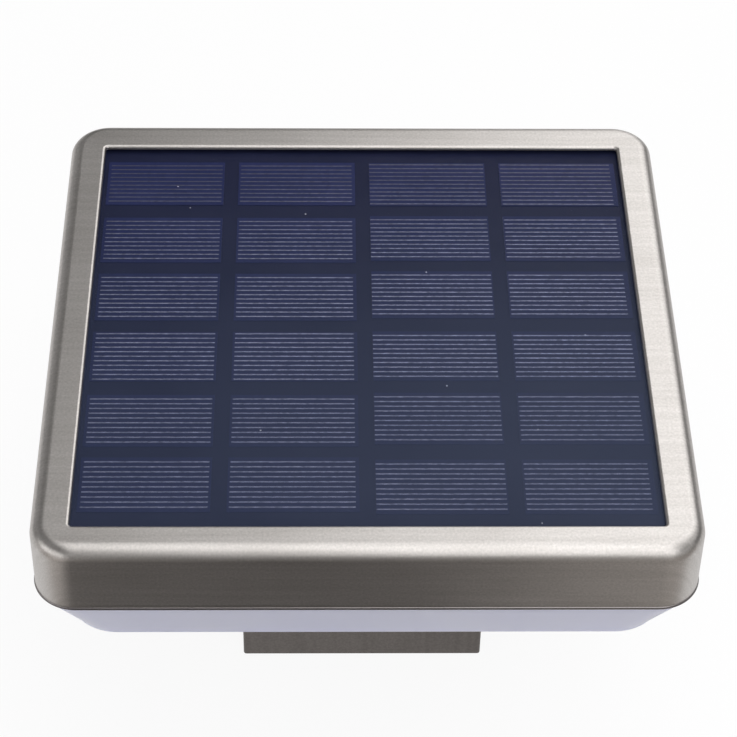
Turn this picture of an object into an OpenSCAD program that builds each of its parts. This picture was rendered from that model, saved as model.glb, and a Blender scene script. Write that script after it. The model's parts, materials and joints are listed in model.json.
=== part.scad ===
// Solar lawn light: a square stainless head with a solar panel on top, an opal
// diffuser under it and a short square stem that bolts to the ground.
// The origin is the centre of the stem's bottom end, +Z is up and -Y is the front.

/* [Head] */
// Width of the square head over its skirt
head_w = 200; // [180:1:240]
// Corner radius of the head
head_r = 13; // [10:0.5:20]
// Thickness of the stainless sheet
sheet_t = 0.8; // [0.6:0.1:1]
// Width of the flange round the solar panel
flange_w = 12; // [9:0.5:13]
// Outer radius of the shoulder between the flange and the skirt
shoulder_r = 4.5; // [3:0.5:5]
// Height of the head from its flange to its hem
skirt_h = 25.6; // [24:0.2:40]
// Thickness of the rolled hem at the skirt's lower edge
hem_d = 1.4; // [1.4:0.1:2]
// Outer radius of the lip that turns down to the panel
lip_r = 1; // [1:0.1:1.3]
// How far the window lies forward of the head's middle
window_forward = 1.05; // [0:0.05:1.2]
// Gap between the hem and the diffuser
hem_gap = 0.4; // [0.3:0.1:1]
// Width of each bracket that is welded inside the skirt
bracket_w = 20; // [12:1:30]
// Thickness of the brackets
bracket_t = 1.5; // [1:0.1:2]
// Height of the brackets against the skirt
bracket_h = 10; // [6:0.5:12]

/* [Solar panel] */
// How far the panel's face lies below the flange
panel_drop = 1.4; // [1.4:0.1:2]
// How far the panel runs under the flange past the window
panel_lap = 6; // [4:0.5:7]
// Corner radius of the panel
panel_r = 5; // [4:0.5:8]
// Thickness of the clear resin over the cells
resin_t = 1.4; // [0.8:0.1:2]
// Thickness of the panel's backing board
board_t = 1.6; // [1:0.1:2]
// Number of cell columns
cell_cols = 4; // [2:1:4]
// Number of cell rows
cell_rows = 6; // [2:1:6]
// Thickness of a cell
cell_t = 0.25; // [0.2:0.05:0.4]
// Gap between two columns of cells
col_gap = 4.9; // [2:0.1:5]
// Gap between two rows of cells
row_gap = 5.7; // [2:0.1:6]
// Room between the cells and the window's left or right edge
side_room = 1.45; // [1:0.05:10]
// Room between the cells and the window's rear edge
rear_room = 5.55; // [4:0.05:16]
// Room between the cells and the window's front edge
front_room = 7.55; // [4:0.05:16]
// Width of the foam tape between the flange and the panel
tape_w = 3.5; // [2:0.5:4]

/* [Inner tray] */
// Thickness of the tray's floor
floor_t = 2; // [1.5:0.1:3]
// Thickness of the tray's wall
wall_t = 2.2; // [1.5:0.1:3]
// Gap between the tray and the skirt
tray_gap = 0.6; // [0.4:0.1:1]
// Thickness of the seal between the tray and the diffuser
rim_seal_t = 0.7; // [0.5:0.1:1.5]
// Distance between the pillars, along X and along Y
pillar_pitch = 116; // [110:1:118]
// Diameter of the pillars
pillar_d = 9; // [8:0.5:10]

/* [Diffuser] */
// Height of the diffuser
diffuser_h = 20; // [18:0.5:30]
// How far the diffuser's rim lies inside the skirt's outer face
rim_inset = 0.7; // [0.6:0.1:2]
// How far the diffuser's wall leans in from its rim to its bottom
diffuser_lean = 7.2; // [4:0.1:10]
// Corner radius of the diffuser's rim
diffuser_r = 12; // [12:0.5:20]
// Corner radius of the diffuser's bottom
diffuser_foot_r = 16; // [10:0.5:24]
// Radius of the diffuser's lower edge
diffuser_edge_r = 1.5; // [1:0.25:4]
// Wall thickness of the diffuser
diffuser_t = 2.5; // [2:0.1:3]

/* [Lamp] */
// Width of the ring-shaped lamp board
led_board_w = 12.5; // [10:0.5:14]
// Thickness of the lamp board
led_board_t = 1.6; // [1:0.1:2]
// Number of lamps along each side
leds_per_side = 6; // [2:2:8]
// Distance between two lamps
led_pitch = 26; // [20:1:26]
// Length of a lamp
led_l = 3.5; // [2.8:0.1:5]
// Width of a lamp
led_w = 2.8; // [2:0.1:4]
// Height of a lamp
led_h = 0.7; // [0.5:0.1:1.2]
// Wall thickness of the white reflector
reflector_t = 1.2; // [0.8:0.1:2]
// Gap between the reflector and the lamp board
reflector_gap = 0.8; // [0.4:0.1:2]

/* [Base plate] */
// Thickness of the base plate
base_t = 2.5; // [2:0.1:4]
// How far the base plate laps under the diffuser's floor
base_lap = 5; // [4:0.5:8]
// Thickness of the seal between the base plate and the diffuser
base_seal_t = 1; // [0.6:0.1:2]
// Height of the rib that centres the diffuser and carries the reflector
rib_h = 5.5; // [4:0.5:8]
// Thickness of that rib
rib_t = 1.8; // [1.2:0.1:2.4]
// Room between that rib and the battery box
rib_room = 6; // [4:0.5:10]

/* [Battery] */
// Diameter of the battery cell
cell_d = 18.4; // [14:0.1:18.4]
// Length of the battery cell
cell_len = 65; // [48:0.5:66]
// Gap between the stem and the battery door
door_gap = 1.85; // [1:0.05:4]
// Room that the contact spring takes
spring_l = 9.3; // [7:0.1:12]
// Wall thickness of the battery box
box_t = 1.2; // [0.9:0.1:1.6]
// Gap between the battery and its box
box_gap = 0.7; // [0.4:0.1:0.8]
// Thickness of the battery door
door_t = 1.5; // [1.2:0.1:2]
// How far the door laps over the edge of its opening
door_lap = 2.5; // [2:0.1:3]
// Thickness of the door's seal
door_seal_t = 0.6; // [0.4:0.1:1]
// Diameter of the door's hinge pin
hinge_pin_d = 2; // [1.5:0.1:2.2]
// Length of the lock's cross lug
lug_l = 5; // [4:0.25:6]
// Width of the lug and diameter of the lock's shank
lug_w = 2; // [1.5:0.1:2.4]

/* [Power switch] */
// Gap between the stem and the switch's bezel
switch_gap = 11.75; // [9:0.25:13]
// Diameter of the switch's threaded barrel
switch_d = 12; // [10:0.5:13]
// Diameter of the switch's bezel
bezel_d = 15; // [14:0.5:17]
// Diameter of the push button
button_d = 7; // [5:0.5:8]
// How far the button goes in
button_travel = 1.5; // [1:0.1:2]

/* [Stem] */
// Width of the square stem
stem_w = 80.5; // [70:0.5:81]
// Outer corner radius of the stem
stem_r = 1; // [1:0.5:6]
// Inner corner radius of the stem
stem_in_r = 0.5; // [0.5:0.5:4]
// Wall thickness of the stem
stem_t = 1.5; // [1.2:0.1:2]
// Length of the stem's tube, from the ground up
stem_l = 68; // [60:0.5:900]
// Thickness of the seal at the stem's top end
stem_seal_t = 1; // [0.5:0.1:2]
// Thickness of the pad under the foot plate
foot_pad_t = 1.5; // [1:0.1:3]
// Thickness of the foot plate
foot_t = 4; // [3:0.5:8]
// Distance between the foot's bolt holes, along X and along Y
foot_pitch = 50; // [40:1:56]
// Diameter of the foot's bolt holes
foot_hole_d = 7; // [5.5:0.5:9]

/* [Stem adapter] */
// Thickness of the adapter's plate
adapter_t = 3; // [2:0.5:4]
// Wall thickness of the adapter's square neck
neck_t = 2.5; // [2:0.1:4]
// Gap between the neck and the inside of the stem
neck_gap = 0.3; // [0.2:0.05:0.5]
// Length of the neck inside the stem
neck_l = 28; // [24:1:50]
// Diameter of the screws that clamp the stem to the neck
clamp_d = 5; // [4:0.5:6]
// Distance between the two clamp screws of a side
clamp_pitch = 40; // [24:1:48]
// Depth of the clamp screws below the stem's top end
clamp_drop = 12; // [10:0.5:16]

/* [Screws and wires] */
// Diameter of the screws through the base plate
base_screw_d = 4; // [3:0.5:4]
// Length of those screws under their heads
base_screw_l = 18; // [16:1:20]
// Diameter of the screws into the skirt's brackets
cover_screw_d = 3; // [2.5:0.5:3]
// Diameter of the small screws of both circuit boards
small_screw_d = 2.5; // [2:0.5:3]
// Radial gap round a screw in its thread
thread_gap = 0.05; // [0.02:0.01:0.1]
// Radial gap round a screw in a plain hole
hole_gap = 0.25; // [0.1:0.05:0.4]
// Radial gap of the pins and the button that move
running_gap = 0.05; // [0.02:0.01:0.1]
// Diameter of the wires
wire_d = 1.4; // [1:0.1:1.6]

/* [Hidden] */
$fn = 64;
// Overlap that a cutting tool needs past a face
cut = 1;

// Heights, from the ground up
z_foot = foot_pad_t;
z_stem_top = stem_l;
z_base = z_stem_top + stem_seal_t;
z_base_top = z_base + base_t;
z_diffuser = z_base_top + base_seal_t;
z_rim = z_diffuser + diffuser_h;
z_tray = z_rim + rim_seal_t;
z_floor = z_tray + floor_t;
z_hem = z_rim + hem_gap;
z_top = z_hem + skirt_h;
z_panel = z_top - panel_drop;
z_cells = z_panel - resin_t;
z_board = z_cells - board_t;

// Widths of the head, each as half of a square
head_h = head_w / 2;
window_h = head_h - flange_w;
window_r = head_r - flange_w;
// Flat edge that a fold of the cover shares with its flange
fold_edge = 0.5;
panel_h = window_h + panel_lap;
inner_h = head_h - sheet_t;
tray_h = inner_h - tray_gap;
tray_r = head_r - sheet_t - tray_gap;

// Cells, which fill the window but for the rooms and gaps
cell_w = (2 * window_h - 2 * side_room - (cell_cols - 1) * col_gap) / cell_cols;
cell_l = (2 * window_h - rear_room - front_room - (cell_rows - 1) * row_gap) / cell_rows;

// Stem, and the battery and switch beside it
stem_h = stem_w / 2;
stem_in_h = stem_h - stem_t;
weld_gap = 1.5;
box_in_w = cell_d + 2 * box_gap;
box_w = box_in_w + 2 * box_t;
door_w = box_in_w + 2 * door_lap;
battery_y = stem_h + door_gap + door_w / 2;
switch_x = stem_h + switch_gap + bezel_d / 2;

// Diffuser and what it is clamped between
rim_h = head_h - rim_inset;
bottom_h = rim_h - diffuser_lean;
rib_gap = 0.6;
rib_half = battery_y + box_w / 2 + rib_room + rib_t;
opening_h = rib_half + rib_gap;
opening_r = 6;
base_h = opening_h + base_lap;
base_r = opening_r + base_lap;

// Lamp board, which hangs under the tray just inside the diffuser's wall
led_board_gap = 2.3;
led_board_h = rim_h - diffuser_t - led_board_gap;
led_board_r = 8.5;
led_line = led_board_h - led_board_w / 2;
z_led_board = z_tray - led_board_t;
led_screw_inset = 7.5;
led_screw_at = led_board_h - led_screw_inset;
led_boss_h = 6;

// Reflector, from the rib to the lamp board's inner edge
reflector_foot_h = rib_half - 0.4;
reflector_lean = led_board_h - led_board_w - reflector_gap - reflector_t - reflector_foot_h;

// Stem adapter
neck_h = stem_in_h - neck_gap;
neck_r = stem_in_r - neck_gap;
z_neck = z_stem_top - neck_l;
z_clamp = z_stem_top - clamp_drop;
pillar_at = pillar_pitch / 2;
adapter_margin = 6;
adapter_h = pillar_at + adapter_margin;
clamp_nut_w = 9.2;
clamp_nut_h = 4;
z_adapter_top = z_base_top + adapter_t;

// Battery box and door
contact_room = 2.1;
cell_play = 0.1;
box_in_l = cell_len + spring_l + contact_room;
box_l = box_in_l + 2 * box_t;
z_cell = z_tray - box_t - cell_play - cell_d / 2;
contact_t = 0.4;
contact_x = box_in_l / 2;
cell_x0 = spring_l + contact_t - contact_x;
tab_w = 3;
tab_t = 1;
tab_out = 2.5;
tab_end = box_l / 2 + tab_out;
door_l = box_in_l + 2 * door_lap;
z_door_top = z_base - door_seal_t;
z_door = z_door_top - door_t;
knuckle_wall = 1.2;
knuckle_r = hinge_pin_d / 2 + knuckle_wall;
knuckle_w = 5;
knuckle_inset = 4;
ear_gap = 0.3;
hinge_out = 2.6;
hinge_drop = 0.4;
hinge_y = battery_y + door_w / 2 + hinge_out;
hinge_z = z_base - knuckle_r - hinge_drop;
base_knuckle_x = box_in_l / 2 - knuckle_inset;
door_knuckle_x = base_knuckle_x - ear_gap;
lock_out = 4;
lock_x = tab_end + lock_out;
lock_reach = hinge_y - battery_y + lug_l / 2;
lock_play = 0.05;
lug_gap = 0.3;
lug_z = z_base_top + lug_gap;
lug_h = 1.2;
// How far the lug's front end swings forward before it has left the base plate
lug_swing = norm([lock_reach, lug_z + lug_h - hinge_z]) - lock_reach;

// Power switch
switch_seal_t = 0.7;
bezel_t = 1.5;
barrel_l = 11;
button_l = 6.2;
button_out = 2.6;
z_bezel = z_base - switch_seal_t - bezel_t;
z_switch_top = z_base + barrel_l;
z_button = z_bezel - button_out;
lug_y = 3;
lug_out = 3;
nut_w = 16;
nut_h = 2.5;

// Control board
pcb = [64, 44, 1.6];
pcb_y = -10;
pcb_lift = 5;
z_pcb = z_floor + pcb_lift;
z_parts = z_pcb + pcb[2];
pcb_screw_inset = 4;
pcb_screw_x = pcb[0] / 2 - pcb_screw_inset;
pcb_screw_y = pcb[1] / 2 - pcb_screw_inset;
connector = [6, 5, 6];
connector_inset = 5;
connector_y = pcb_y + pcb[1] / 2 - connector[1] - connector_inset;
connector_x = [-21, -7, 7, 21];
wire_y = connector_y + connector[1];
z_wire = z_parts + connector[2] / 2;
wire_gap = 1.9;

// Places of the wire holes and of the panel's terminals
grommet_at = [47, 26];
grommet_r = 5;
grommet_wall = 1.4;
led_wire_at = [led_line, 40];
led_wire_hole_r = 3;
terminal_at = [-50, 30];
terminal_gap = 3;
terminal_t = 1;

// Heads of the screws, each with its diameter and height
base_head = [8, 2.6];
clamp_head = [9.5, 2.7];
cover_head = [5.6, 1.6];
small_head = [4.6, 1.4];
clamp_screw_l = 12;

// How far the cells of each row were laid forward of their place, left pair and right pair
laid_left = [0, 1, 0.9, 0.6, 1, -0.1];
laid_right = [0.2, 0, -0.4, 0.3, 0, 0.8];

// Signs of the four corners, and the turns of the four sides
corners = [[1, 1], [-1, 1], [-1, -1], [1, -1]];
sides = [0, 90, 180, 270];

// Square with round corners, given by half its width and its corner radius
module round_square(half, r) {
  square([2 * half, 2 * (half - r)], center = true);
  square([2 * (half - r), 2 * half], center = true);
  for (c = corners)
    translate([c[0] * (half - r), c[1] * (half - r)])
      circle(r = r);
}

// Plate with round corners between two heights
module slab(half, r, z0, z1) {
  translate([0, 0, z0])
    linear_extrude(z1 - z0)
      round_square(half, r);
}

// Ring between an outer and an inner square with round corners
module ring(outer, r_out, inner, r_in, z0, z1) {
  difference() {
    slab(outer, r_out, z0, z1);
    slab(inner, r_in, z0 - cut, z1 + cut);
  }
}

// Carries a section round a square with round corners. The section's x is measured
// from the centre of the corner's arc and its y is the height.
module carry_round(half, r) {
  at = half - r;
  for (a = sides)
    rotate([0, 0, a])
      translate([at, at, 0]) {
        rotate_extrude(angle = 90)
          children();
        rotate([90, 0, 0])
          linear_extrude(2 * at)
            children();
      }
}

// Quarter of a ring; sx and sy say which quarter is kept
module quarter_ring(outer, inner, sx, sy) {
  intersection() {
    difference() {
      circle(r = outer);
      circle(r = inner);
    }
    translate([sx > 0 ? 0 : -outer, sy > 0 ? 0 : -outer])
      square(outer);
  }
}

// Section of the folded sheet's outer part: edge of the flange, shoulder, skirt and hem
module skirt_section() {
  shoulder_x = head_r - shoulder_r;
  translate([shoulder_x - fold_edge, z_top - sheet_t])
    square([fold_edge, sheet_t]);
  translate([shoulder_x, z_top - shoulder_r])
    quarter_ring(shoulder_r, shoulder_r - sheet_t, 1, 1);
  translate([head_r - sheet_t, z_hem + hem_d / 2])
    square([sheet_t, z_top - shoulder_r - z_hem - hem_d / 2]);
  translate([head_r - sheet_t / 2, z_hem + hem_d / 2])
    circle(d = hem_d);
}

// Section of the lip that turns down from the flange to the panel
module lip_section() {
  translate([window_r, z_panel])
    square([sheet_t, z_top - lip_r - z_panel]);
  translate([window_r + lip_r, z_top - lip_r])
    quarter_ring(lip_r, lip_r - sheet_t, -1, 1);
  translate([window_r + lip_r, z_top - sheet_t])
    square([fold_edge, sheet_t]);
}

// Folded stainless cover, with its window a little forward of the middle
module top_cover() {
  flat_h = head_h - shoulder_r - fold_edge;
  hole_h = window_h + lip_r + fold_edge;
  color("gainsboro") {
    carry_round(head_h, head_r)
      skirt_section();
    translate([0, -window_forward, 0])
      carry_round(window_h, window_r)
        lip_section();
    difference() {
      slab(flat_h, head_r - shoulder_r - fold_edge, z_top - sheet_t, z_top);
      translate([0, -window_forward, 0])
        slab(hole_h, window_r + lip_r + fold_edge, z_top - sheet_t - cut, z_top + cut);
    }
  }
}

// Four folded brackets, welded to the skirt, that take the screws from the tray
module cover_brackets() {
  leg_l = inner_h - led_line + 5;
  color("silver")
    for (a = sides)
      rotate([0, 0, a])
        difference() {
          union() {
            translate([inner_h - leg_l, -bracket_w / 2, z_floor])
              cube([leg_l, bracket_w, bracket_t]);
            translate([inner_h - bracket_t, -bracket_w / 2, z_floor])
              cube([bracket_t, bracket_w, bracket_h]);
          }
          translate([led_line, 0, z_floor - cut])
            cylinder(d = cover_screw_d + 2 * thread_gap, h = bracket_t + 2 * cut);
        }
}

// Foam tape that seals the panel under the flange
module panel_tape() {
  color("dimgray")
    ring(panel_h, panel_r, panel_h - tape_w, 2, z_panel, z_top - sheet_t);
}

// One block for each cell, in columns and rows
module cell_blocks() {
  for (i = [0 : cell_cols - 1], j = [0 : cell_rows - 1]) {
    laid = i < cell_cols / 2 ? laid_left[j] : laid_right[j];
    x = side_room - window_h + i * (cell_w + col_gap);
    y = window_h - window_forward - rear_room - cell_l - j * (cell_l + row_gap) - laid;
    translate([x, y, z_cells])
      cube([cell_w, cell_l, cell_t]);
  }
}

module solar_cells() {
  color("midnightblue")
    cell_blocks();
}

// Clear resin that is cast over the cells and round them
module panel_resin() {
  color([0.35, 0.38, 0.6, 0.4])
    difference() {
      slab(panel_h, panel_r, z_cells, z_panel);
      cell_blocks();
    }
}

module panel_board() {
  color([0.1, 0.11, 0.2])
    slab(panel_h, panel_r, z_board, z_cells);
}

// Two solder terminals on the back of the panel's board
module panel_terminals() {
  color("gold")
    for (s = [-1, 1])
      translate([terminal_at[0] + s * terminal_gap, terminal_at[1], z_board - terminal_t])
        cylinder(d = 4, h = terminal_t);
}

// Tray that carries the panel, the lamp board and the control board
module inner_tray() {
  post_h = z_board - z_floor;
  notch_w = bracket_w + 4;
  notch_h = bracket_t + 3;
  color([0.2, 0.2, 0.21])
    difference() {
      union() {
        slab(tray_h, tray_r, z_tray, z_floor);
        ring(panel_h, panel_r, panel_h - wall_t, panel_r - wall_t, z_floor, z_board);
        for (c = corners) {
          translate([c[0] * pillar_at, c[1] * pillar_at, z_adapter_top])
            cylinder(d = pillar_d, h = z_tray - z_adapter_top);
          translate([c[0] * pillar_at, c[1] * pillar_at, z_floor])
            cylinder(d = pillar_d, h = post_h);
          translate([c[0] * led_screw_at, c[1] * led_screw_at, z_floor])
            cylinder(d = 6, h = led_boss_h);
          translate([c[0] * pcb_screw_x, pcb_y + c[1] * pcb_screw_y, z_floor])
            cylinder(d = 6, h = z_pcb - z_floor);
        }
      }
      for (a = sides)
        rotate([0, 0, a]) {
          translate([panel_h - wall_t - cut, -notch_w / 2, z_floor])
            cube([wall_t + 2 * cut, notch_w, notch_h]);
          translate([led_line, 0, z_tray - cut])
            cylinder(d = cover_screw_d + 2 * hole_gap, h = floor_t + 2 * cut);
        }
      for (c = corners) {
        translate([c[0] * pillar_at, c[1] * pillar_at, z_adapter_top - cut])
          cylinder(d = base_screw_d + 2 * thread_gap, h = cut + base_screw_l - base_t - adapter_t + 1);
        translate([c[0] * led_screw_at, c[1] * led_screw_at, z_tray - cut])
          cylinder(d = small_screw_d + 2 * thread_gap, h = cut + floor_t + led_boss_h - 1);
        translate([c[0] * pcb_screw_x, pcb_y + c[1] * pcb_screw_y, z_floor])
          cylinder(d = small_screw_d + 2 * thread_gap, h = z_pcb - z_floor + cut);
      }
      translate([grommet_at[0], grommet_at[1], z_tray - cut])
        cylinder(r = grommet_r, h = floor_t + 2 * cut);
      translate([led_wire_at[0], led_wire_at[1], z_tray - cut])
        cylinder(r = led_wire_hole_r, h = floor_t + 2 * cut);
    }
}

// Rubber ring that keeps the wires off the edge of their hole
module wire_grommet() {
  play = 0.1;
  lip_w = 1.5;
  lip_t = 1.2;
  color("black")
    translate([grommet_at[0], grommet_at[1], z_tray])
      difference() {
        union() {
          for (z = [-lip_t, floor_t])
            translate([0, 0, z])
              cylinder(r = grommet_r + lip_w, h = lip_t);
          cylinder(r = grommet_r - play, h = floor_t);
        }
        translate([0, 0, -lip_t - cut])
          cylinder(r = grommet_r - grommet_wall, h = floor_t + 2 * (lip_t + cut));
      }
}

// Round-headed screw that points up, its head below z = 0, with a hexagon socket
module screw(d, l, head) {
  head_d = head[0];
  head_h = head[1];
  dome = (head_d * head_d / 4 + head_h * head_h) / (2 * head_h);
  difference() {
    union() {
      cylinder(d = d, h = l);
      intersection() {
        translate([0, 0, dome - head_h])
          sphere(r = dome);
        translate([0, 0, -head_h])
          cylinder(d = head_d, h = head_h);
      }
    }
    translate([0, 0, -head_h - cut])
      cylinder(d = d * 0.7, h = cut + head_h * 0.6, $fn = 6);
  }
}

module cover_screws() {
  color("silver")
    for (a = sides)
      rotate([0, 0, a])
        translate([led_line, 0, z_led_board])
          screw(cover_screw_d, led_board_t + floor_t + bracket_t + 1.5, cover_head);
}

// Foam ring between the tray and the diffuser's rim
module rim_seal() {
  outer_inset = 0.9;
  inner_inset = diffuser_t - 0.2;
  color("dimgray")
    ring(rim_h - outer_inset, diffuser_r - outer_inset, rim_h - inner_inset, diffuser_r - inner_inset,
      z_rim, z_tray);
}

// Outline of the diffuser's outer or inner face: inset is the distance inside the outer
// face and lift is the height of its floor. The lower edge is rounded in four steps.
module diffuser_block(inset, lift, over) {
  edge = max(diffuser_edge_r - inset, 0.5);
  z0 = z_diffuser + lift;
  slope = (rim_h - bottom_h) / (diffuser_h - diffuser_edge_r);
  hull() {
    for (a = [0 : 30 : 90]) {
      z = z0 + edge * (1 - cos(a));
      half = bottom_h - inset - edge * (1 - sin(a));
      translate([0, 0, z])
        linear_extrude(0.01)
          round_square(half, diffuser_foot_r - inset - edge * (1 - sin(a)), $fn = 48);
    }
    translate([0, 0, z_rim + over - 0.01])
      linear_extrude(0.01)
        round_square(rim_h - inset + over * slope, diffuser_r - inset, $fn = 48);
  }
}

module diffuser() {
  color([0.85, 0.86, 0.93])
    difference() {
      diffuser_block(0, 0, 0);
      diffuser_block(diffuser_t, diffuser_t, cut);
      slab(opening_h, opening_r, z_diffuser - cut, z_diffuser + diffuser_t + cut);
    }
}

// White funnel between the lamp board and the base plate's rib
module reflector() {
  foot_r = 6;
  foot_z = z_base_top + rib_h;
  color("white")
    carry_round(reflector_foot_h, foot_r)
      polygon([
        [foot_r, foot_z],
        [foot_r + reflector_t, foot_z],
        [foot_r + reflector_t + reflector_lean, z_tray],
        [foot_r + reflector_lean, z_tray]]);
}

module led_board() {
  inner = led_board_h - led_board_w;
  color("white")
    difference() {
      ring(led_board_h, led_board_r, inner, 3, z_led_board, z_tray);
      for (a = sides)
        rotate([0, 0, a])
          translate([led_line, 0, z_led_board - cut])
            cylinder(d = cover_screw_d + 2 * hole_gap, h = led_board_t + 2 * cut);
      for (c = corners)
        translate([c[0] * led_screw_at, c[1] * led_screw_at, z_led_board - cut])
          cylinder(d = small_screw_d + 2 * hole_gap, h = led_board_t + 2 * cut);
    }
}

module leds() {
  color("lightyellow")
    for (a = sides, i = [0 : leds_per_side - 1])
      rotate([0, 0, a])
        translate([led_line, (i - (leds_per_side - 1) / 2) * led_pitch, z_led_board - led_h / 2])
          cube([led_w, led_l, led_h], center = true);
}

module led_board_screws() {
  color("silver")
    for (c = corners)
      translate([c[0] * led_screw_at, c[1] * led_screw_at, z_led_board])
        screw(small_screw_d, led_board_t + floor_t + led_boss_h - 2, small_head);
}

module control_board() {
  color("darkgreen")
    difference() {
      translate([-pcb[0] / 2, pcb_y - pcb[1] / 2, z_pcb])
        cube(pcb);
      for (c = corners)
        translate([c[0] * pcb_screw_x, pcb_y + c[1] * pcb_screw_y, z_pcb - cut])
          cylinder(d = small_screw_d + 2 * hole_gap, h = pcb[2] + 2 * cut);
    }
}

module board_screws() {
  color("silver")
    for (c = corners)
      translate([c[0] * pcb_screw_x, pcb_y + c[1] * pcb_screw_y, z_parts])
        mirror([0, 0, 1])
          screw(small_screw_d, pcb[2] + pcb_lift - 1, small_head);
}

// Charge controller and lamp driver, each with two rows of legs
module control_chips() {
  body = [5, 4, 1.6];
  color([0.12, 0.12, 0.12])
    for (x = [-14, 2])
      translate([x, pcb_y - 6, z_parts]) {
        translate([-body[0] / 2, -body[1] / 2, 0.2])
          cube(body);
        for (i = [-1.5 : 1 : 1.5], s = [-1, 1])
          translate([i * 1.27 - 0.2, s > 0 ? body[1] / 2 - 0.2 : -body[1] / 2 - 1, 0])
            cube([0.4, 1.2, 0.5]);
      }
}

// Wound drum core between two flanges
module inductor() {
  flange_t = 1;
  coil_h = 3.4;
  color([0.25, 0.22, 0.2])
    translate([16, pcb_y - 8, z_parts]) {
      for (z = [0, flange_t + coil_h])
        translate([0, 0, z])
          cylinder(d = 9, h = flange_t);
      cylinder(d = 7.6, h = 2 * flange_t + coil_h);
    }
}

// Two capacitors, each a can with a rolled groove near its foot
module capacitors() {
  can_d = 8;
  can_h = 10;
  groove_r = 0.5;
  color([0.15, 0.2, 0.4])
    for (y = [-10, 0])
      translate([-24, pcb_y + y, z_parts])
        difference() {
          cylinder(d = can_d, h = can_h);
          translate([0, 0, 1.2])
            rotate_extrude()
              translate([can_d / 2 + groove_r * 0.6, 0])
                circle(r = groove_r);
        }
}

// Two-way wire housings along the rear edge of the control board
module wire_connectors() {
  color("ivory")
    for (x = connector_x)
      translate([x - connector[0] / 2, connector_y, z_parts])
        cube(connector);
}

// Open box over the door's opening that holds the battery
module battery_box() {
  color([0.15, 0.15, 0.15])
    translate([0, battery_y, 0])
      difference() {
        translate([-box_l / 2, -box_w / 2, z_base_top])
          cube([box_l, box_w, z_tray - z_base_top]);
        translate([-box_in_l / 2, -box_in_w / 2, z_base_top - cut])
          cube([box_in_l, box_in_w, z_tray - box_t - z_base_top + cut]);
        translate([-box_l / 2 - cut, -tab_w / 2, z_cell - tab_t / 2])
          cube([box_l + 2 * cut, tab_w, tab_t]);
      }
}

// Rechargeable cell with its raised plus pole
module battery_cell() {
  pole_l = 1.4;
  color("seagreen")
    translate([cell_x0, battery_y, z_cell])
      rotate([0, 90, 0]) {
        cylinder(d = cell_d, h = cell_len - pole_l);
        cylinder(d = 5.5, h = cell_len);
      }
}

// Flat contact with a tab that leaves the box at its end; side is -1 or 1
module contact_plate(side) {
  plate_w = 10;
  inner_x = side > 0 ? contact_x - contact_t : -contact_x;
  tab_x = side > 0 ? contact_x - contact_t : -tab_end;
  translate([inner_x, battery_y - plate_w / 2, z_cell - plate_w / 2])
    cube([contact_t, plate_w, plate_w]);
  translate([tab_x, battery_y - tab_w / 2, z_cell - tab_t / 2])
    cube([tab_end - contact_x + contact_t, tab_w, tab_t]);
}

// Plus contact, with a stud that reaches the cell's pole
module battery_contact() {
  stud_x = cell_x0 + cell_len;
  color("silver") {
    contact_plate(1);
    translate([stud_x, battery_y, z_cell])
      rotate([0, 90, 0])
        cylinder(d = 4, h = contact_x - contact_t - stud_x);
  }
}

// Minus contact with its coil spring, one unbroken wire of four turns whose first end
// is set into the plate
module battery_spring() {
  wire = 0.8;
  turns = 4;
  steps = 12;
  mean_r = 3.6;
  length = spring_l - wire * 0.75 - 0.05;
  coil = [for (k = [0 : turns * steps])
    let (a = k * 360 / steps)
    [wire / 4 + length * k / (turns * steps), mean_r * cos(a), mean_r * sin(a)]];
  color("silver") {
    contact_plate(-1);
    translate([contact_t - contact_x, battery_y, z_cell])
      tube(coil, wire, 6);
  }
}

// Unit vector, and the direction of a path at one of its points
function unit(v) = v / norm(v);
function heading(p, i) = unit(p[min(i + 1, len(p) - 1)] - p[max(i - 1, 0)]);

// The part of u that is square to t, at unit length
function square_to(u, t) = unit(u - (u * t) * t);

// Any direction that is square to t
function side_of(t) = abs(t[2]) < 0.9 ? unit(cross(t, [0, 0, 1])) : unit(cross(t, [1, 0, 0]));

// Point on a smooth curve through b and c, with its neighbours a and d
function between(a, b, c, d, t) =
  0.5 * (2 * b + (c - a) * t + (2 * a - 5 * b + 4 * c - d) * t * t + (3 * b - a - 3 * c + d) * t * t * t);

// Smooth curve through the points p, with n steps between two of them. Its first and
// last stretch are straight, so that the ends meet what they are soldered to squarely.
function smooth(p, n) = concat(
  [p[0]],
  [for (i = [1 : len(p) - 3], k = [0 : n - 1])
    between(p[i - 1], p[i], p[i + 1], p[i + 2], k / n)],
  [p[len(p) - 2], p[len(p) - 1]]);

// Round tube along the path p: a ring of points at every point of the path, turned
// as little as possible from one ring to the next
module tube(p, d, ring_n) {
  n = len(p);
  turned = [for (i = 0, u = side_of(heading(p, 0)); i < n;
    i = i + 1, u = square_to(u, heading(p, min(i, n - 1)))) u];
  points = [for (i = [0 : n - 1], k = [0 : ring_n - 1])
    let (u = turned[i], v = cross(heading(p, i), u), a = k * 360 / ring_n)
    p[i] + d / 2 * (cos(a) * u + sin(a) * v)];
  skin = [for (i = [0 : n - 2], k = [0 : ring_n - 1], h = [0, 1])
    let (k2 = (k + 1) % ring_n, a = i * ring_n, b = (i + 1) * ring_n)
    h == 0 ? [a + k, b + k, b + k2] : [a + k, b + k2, a + k2]];
  first = [for (k = [1 : ring_n - 2]) [0, k, k + 1]];
  last = [for (k = [1 : ring_n - 2]) [(n - 1) * ring_n, (n - 1) * ring_n + k + 1, (n - 1) * ring_n + k]];
  polyhedron(points, concat(skin, first, last));
}

// Wire along a smooth curve through its points
module wire(points) {
  tube(smooth(points, 4), wire_d, 8);
}

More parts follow.
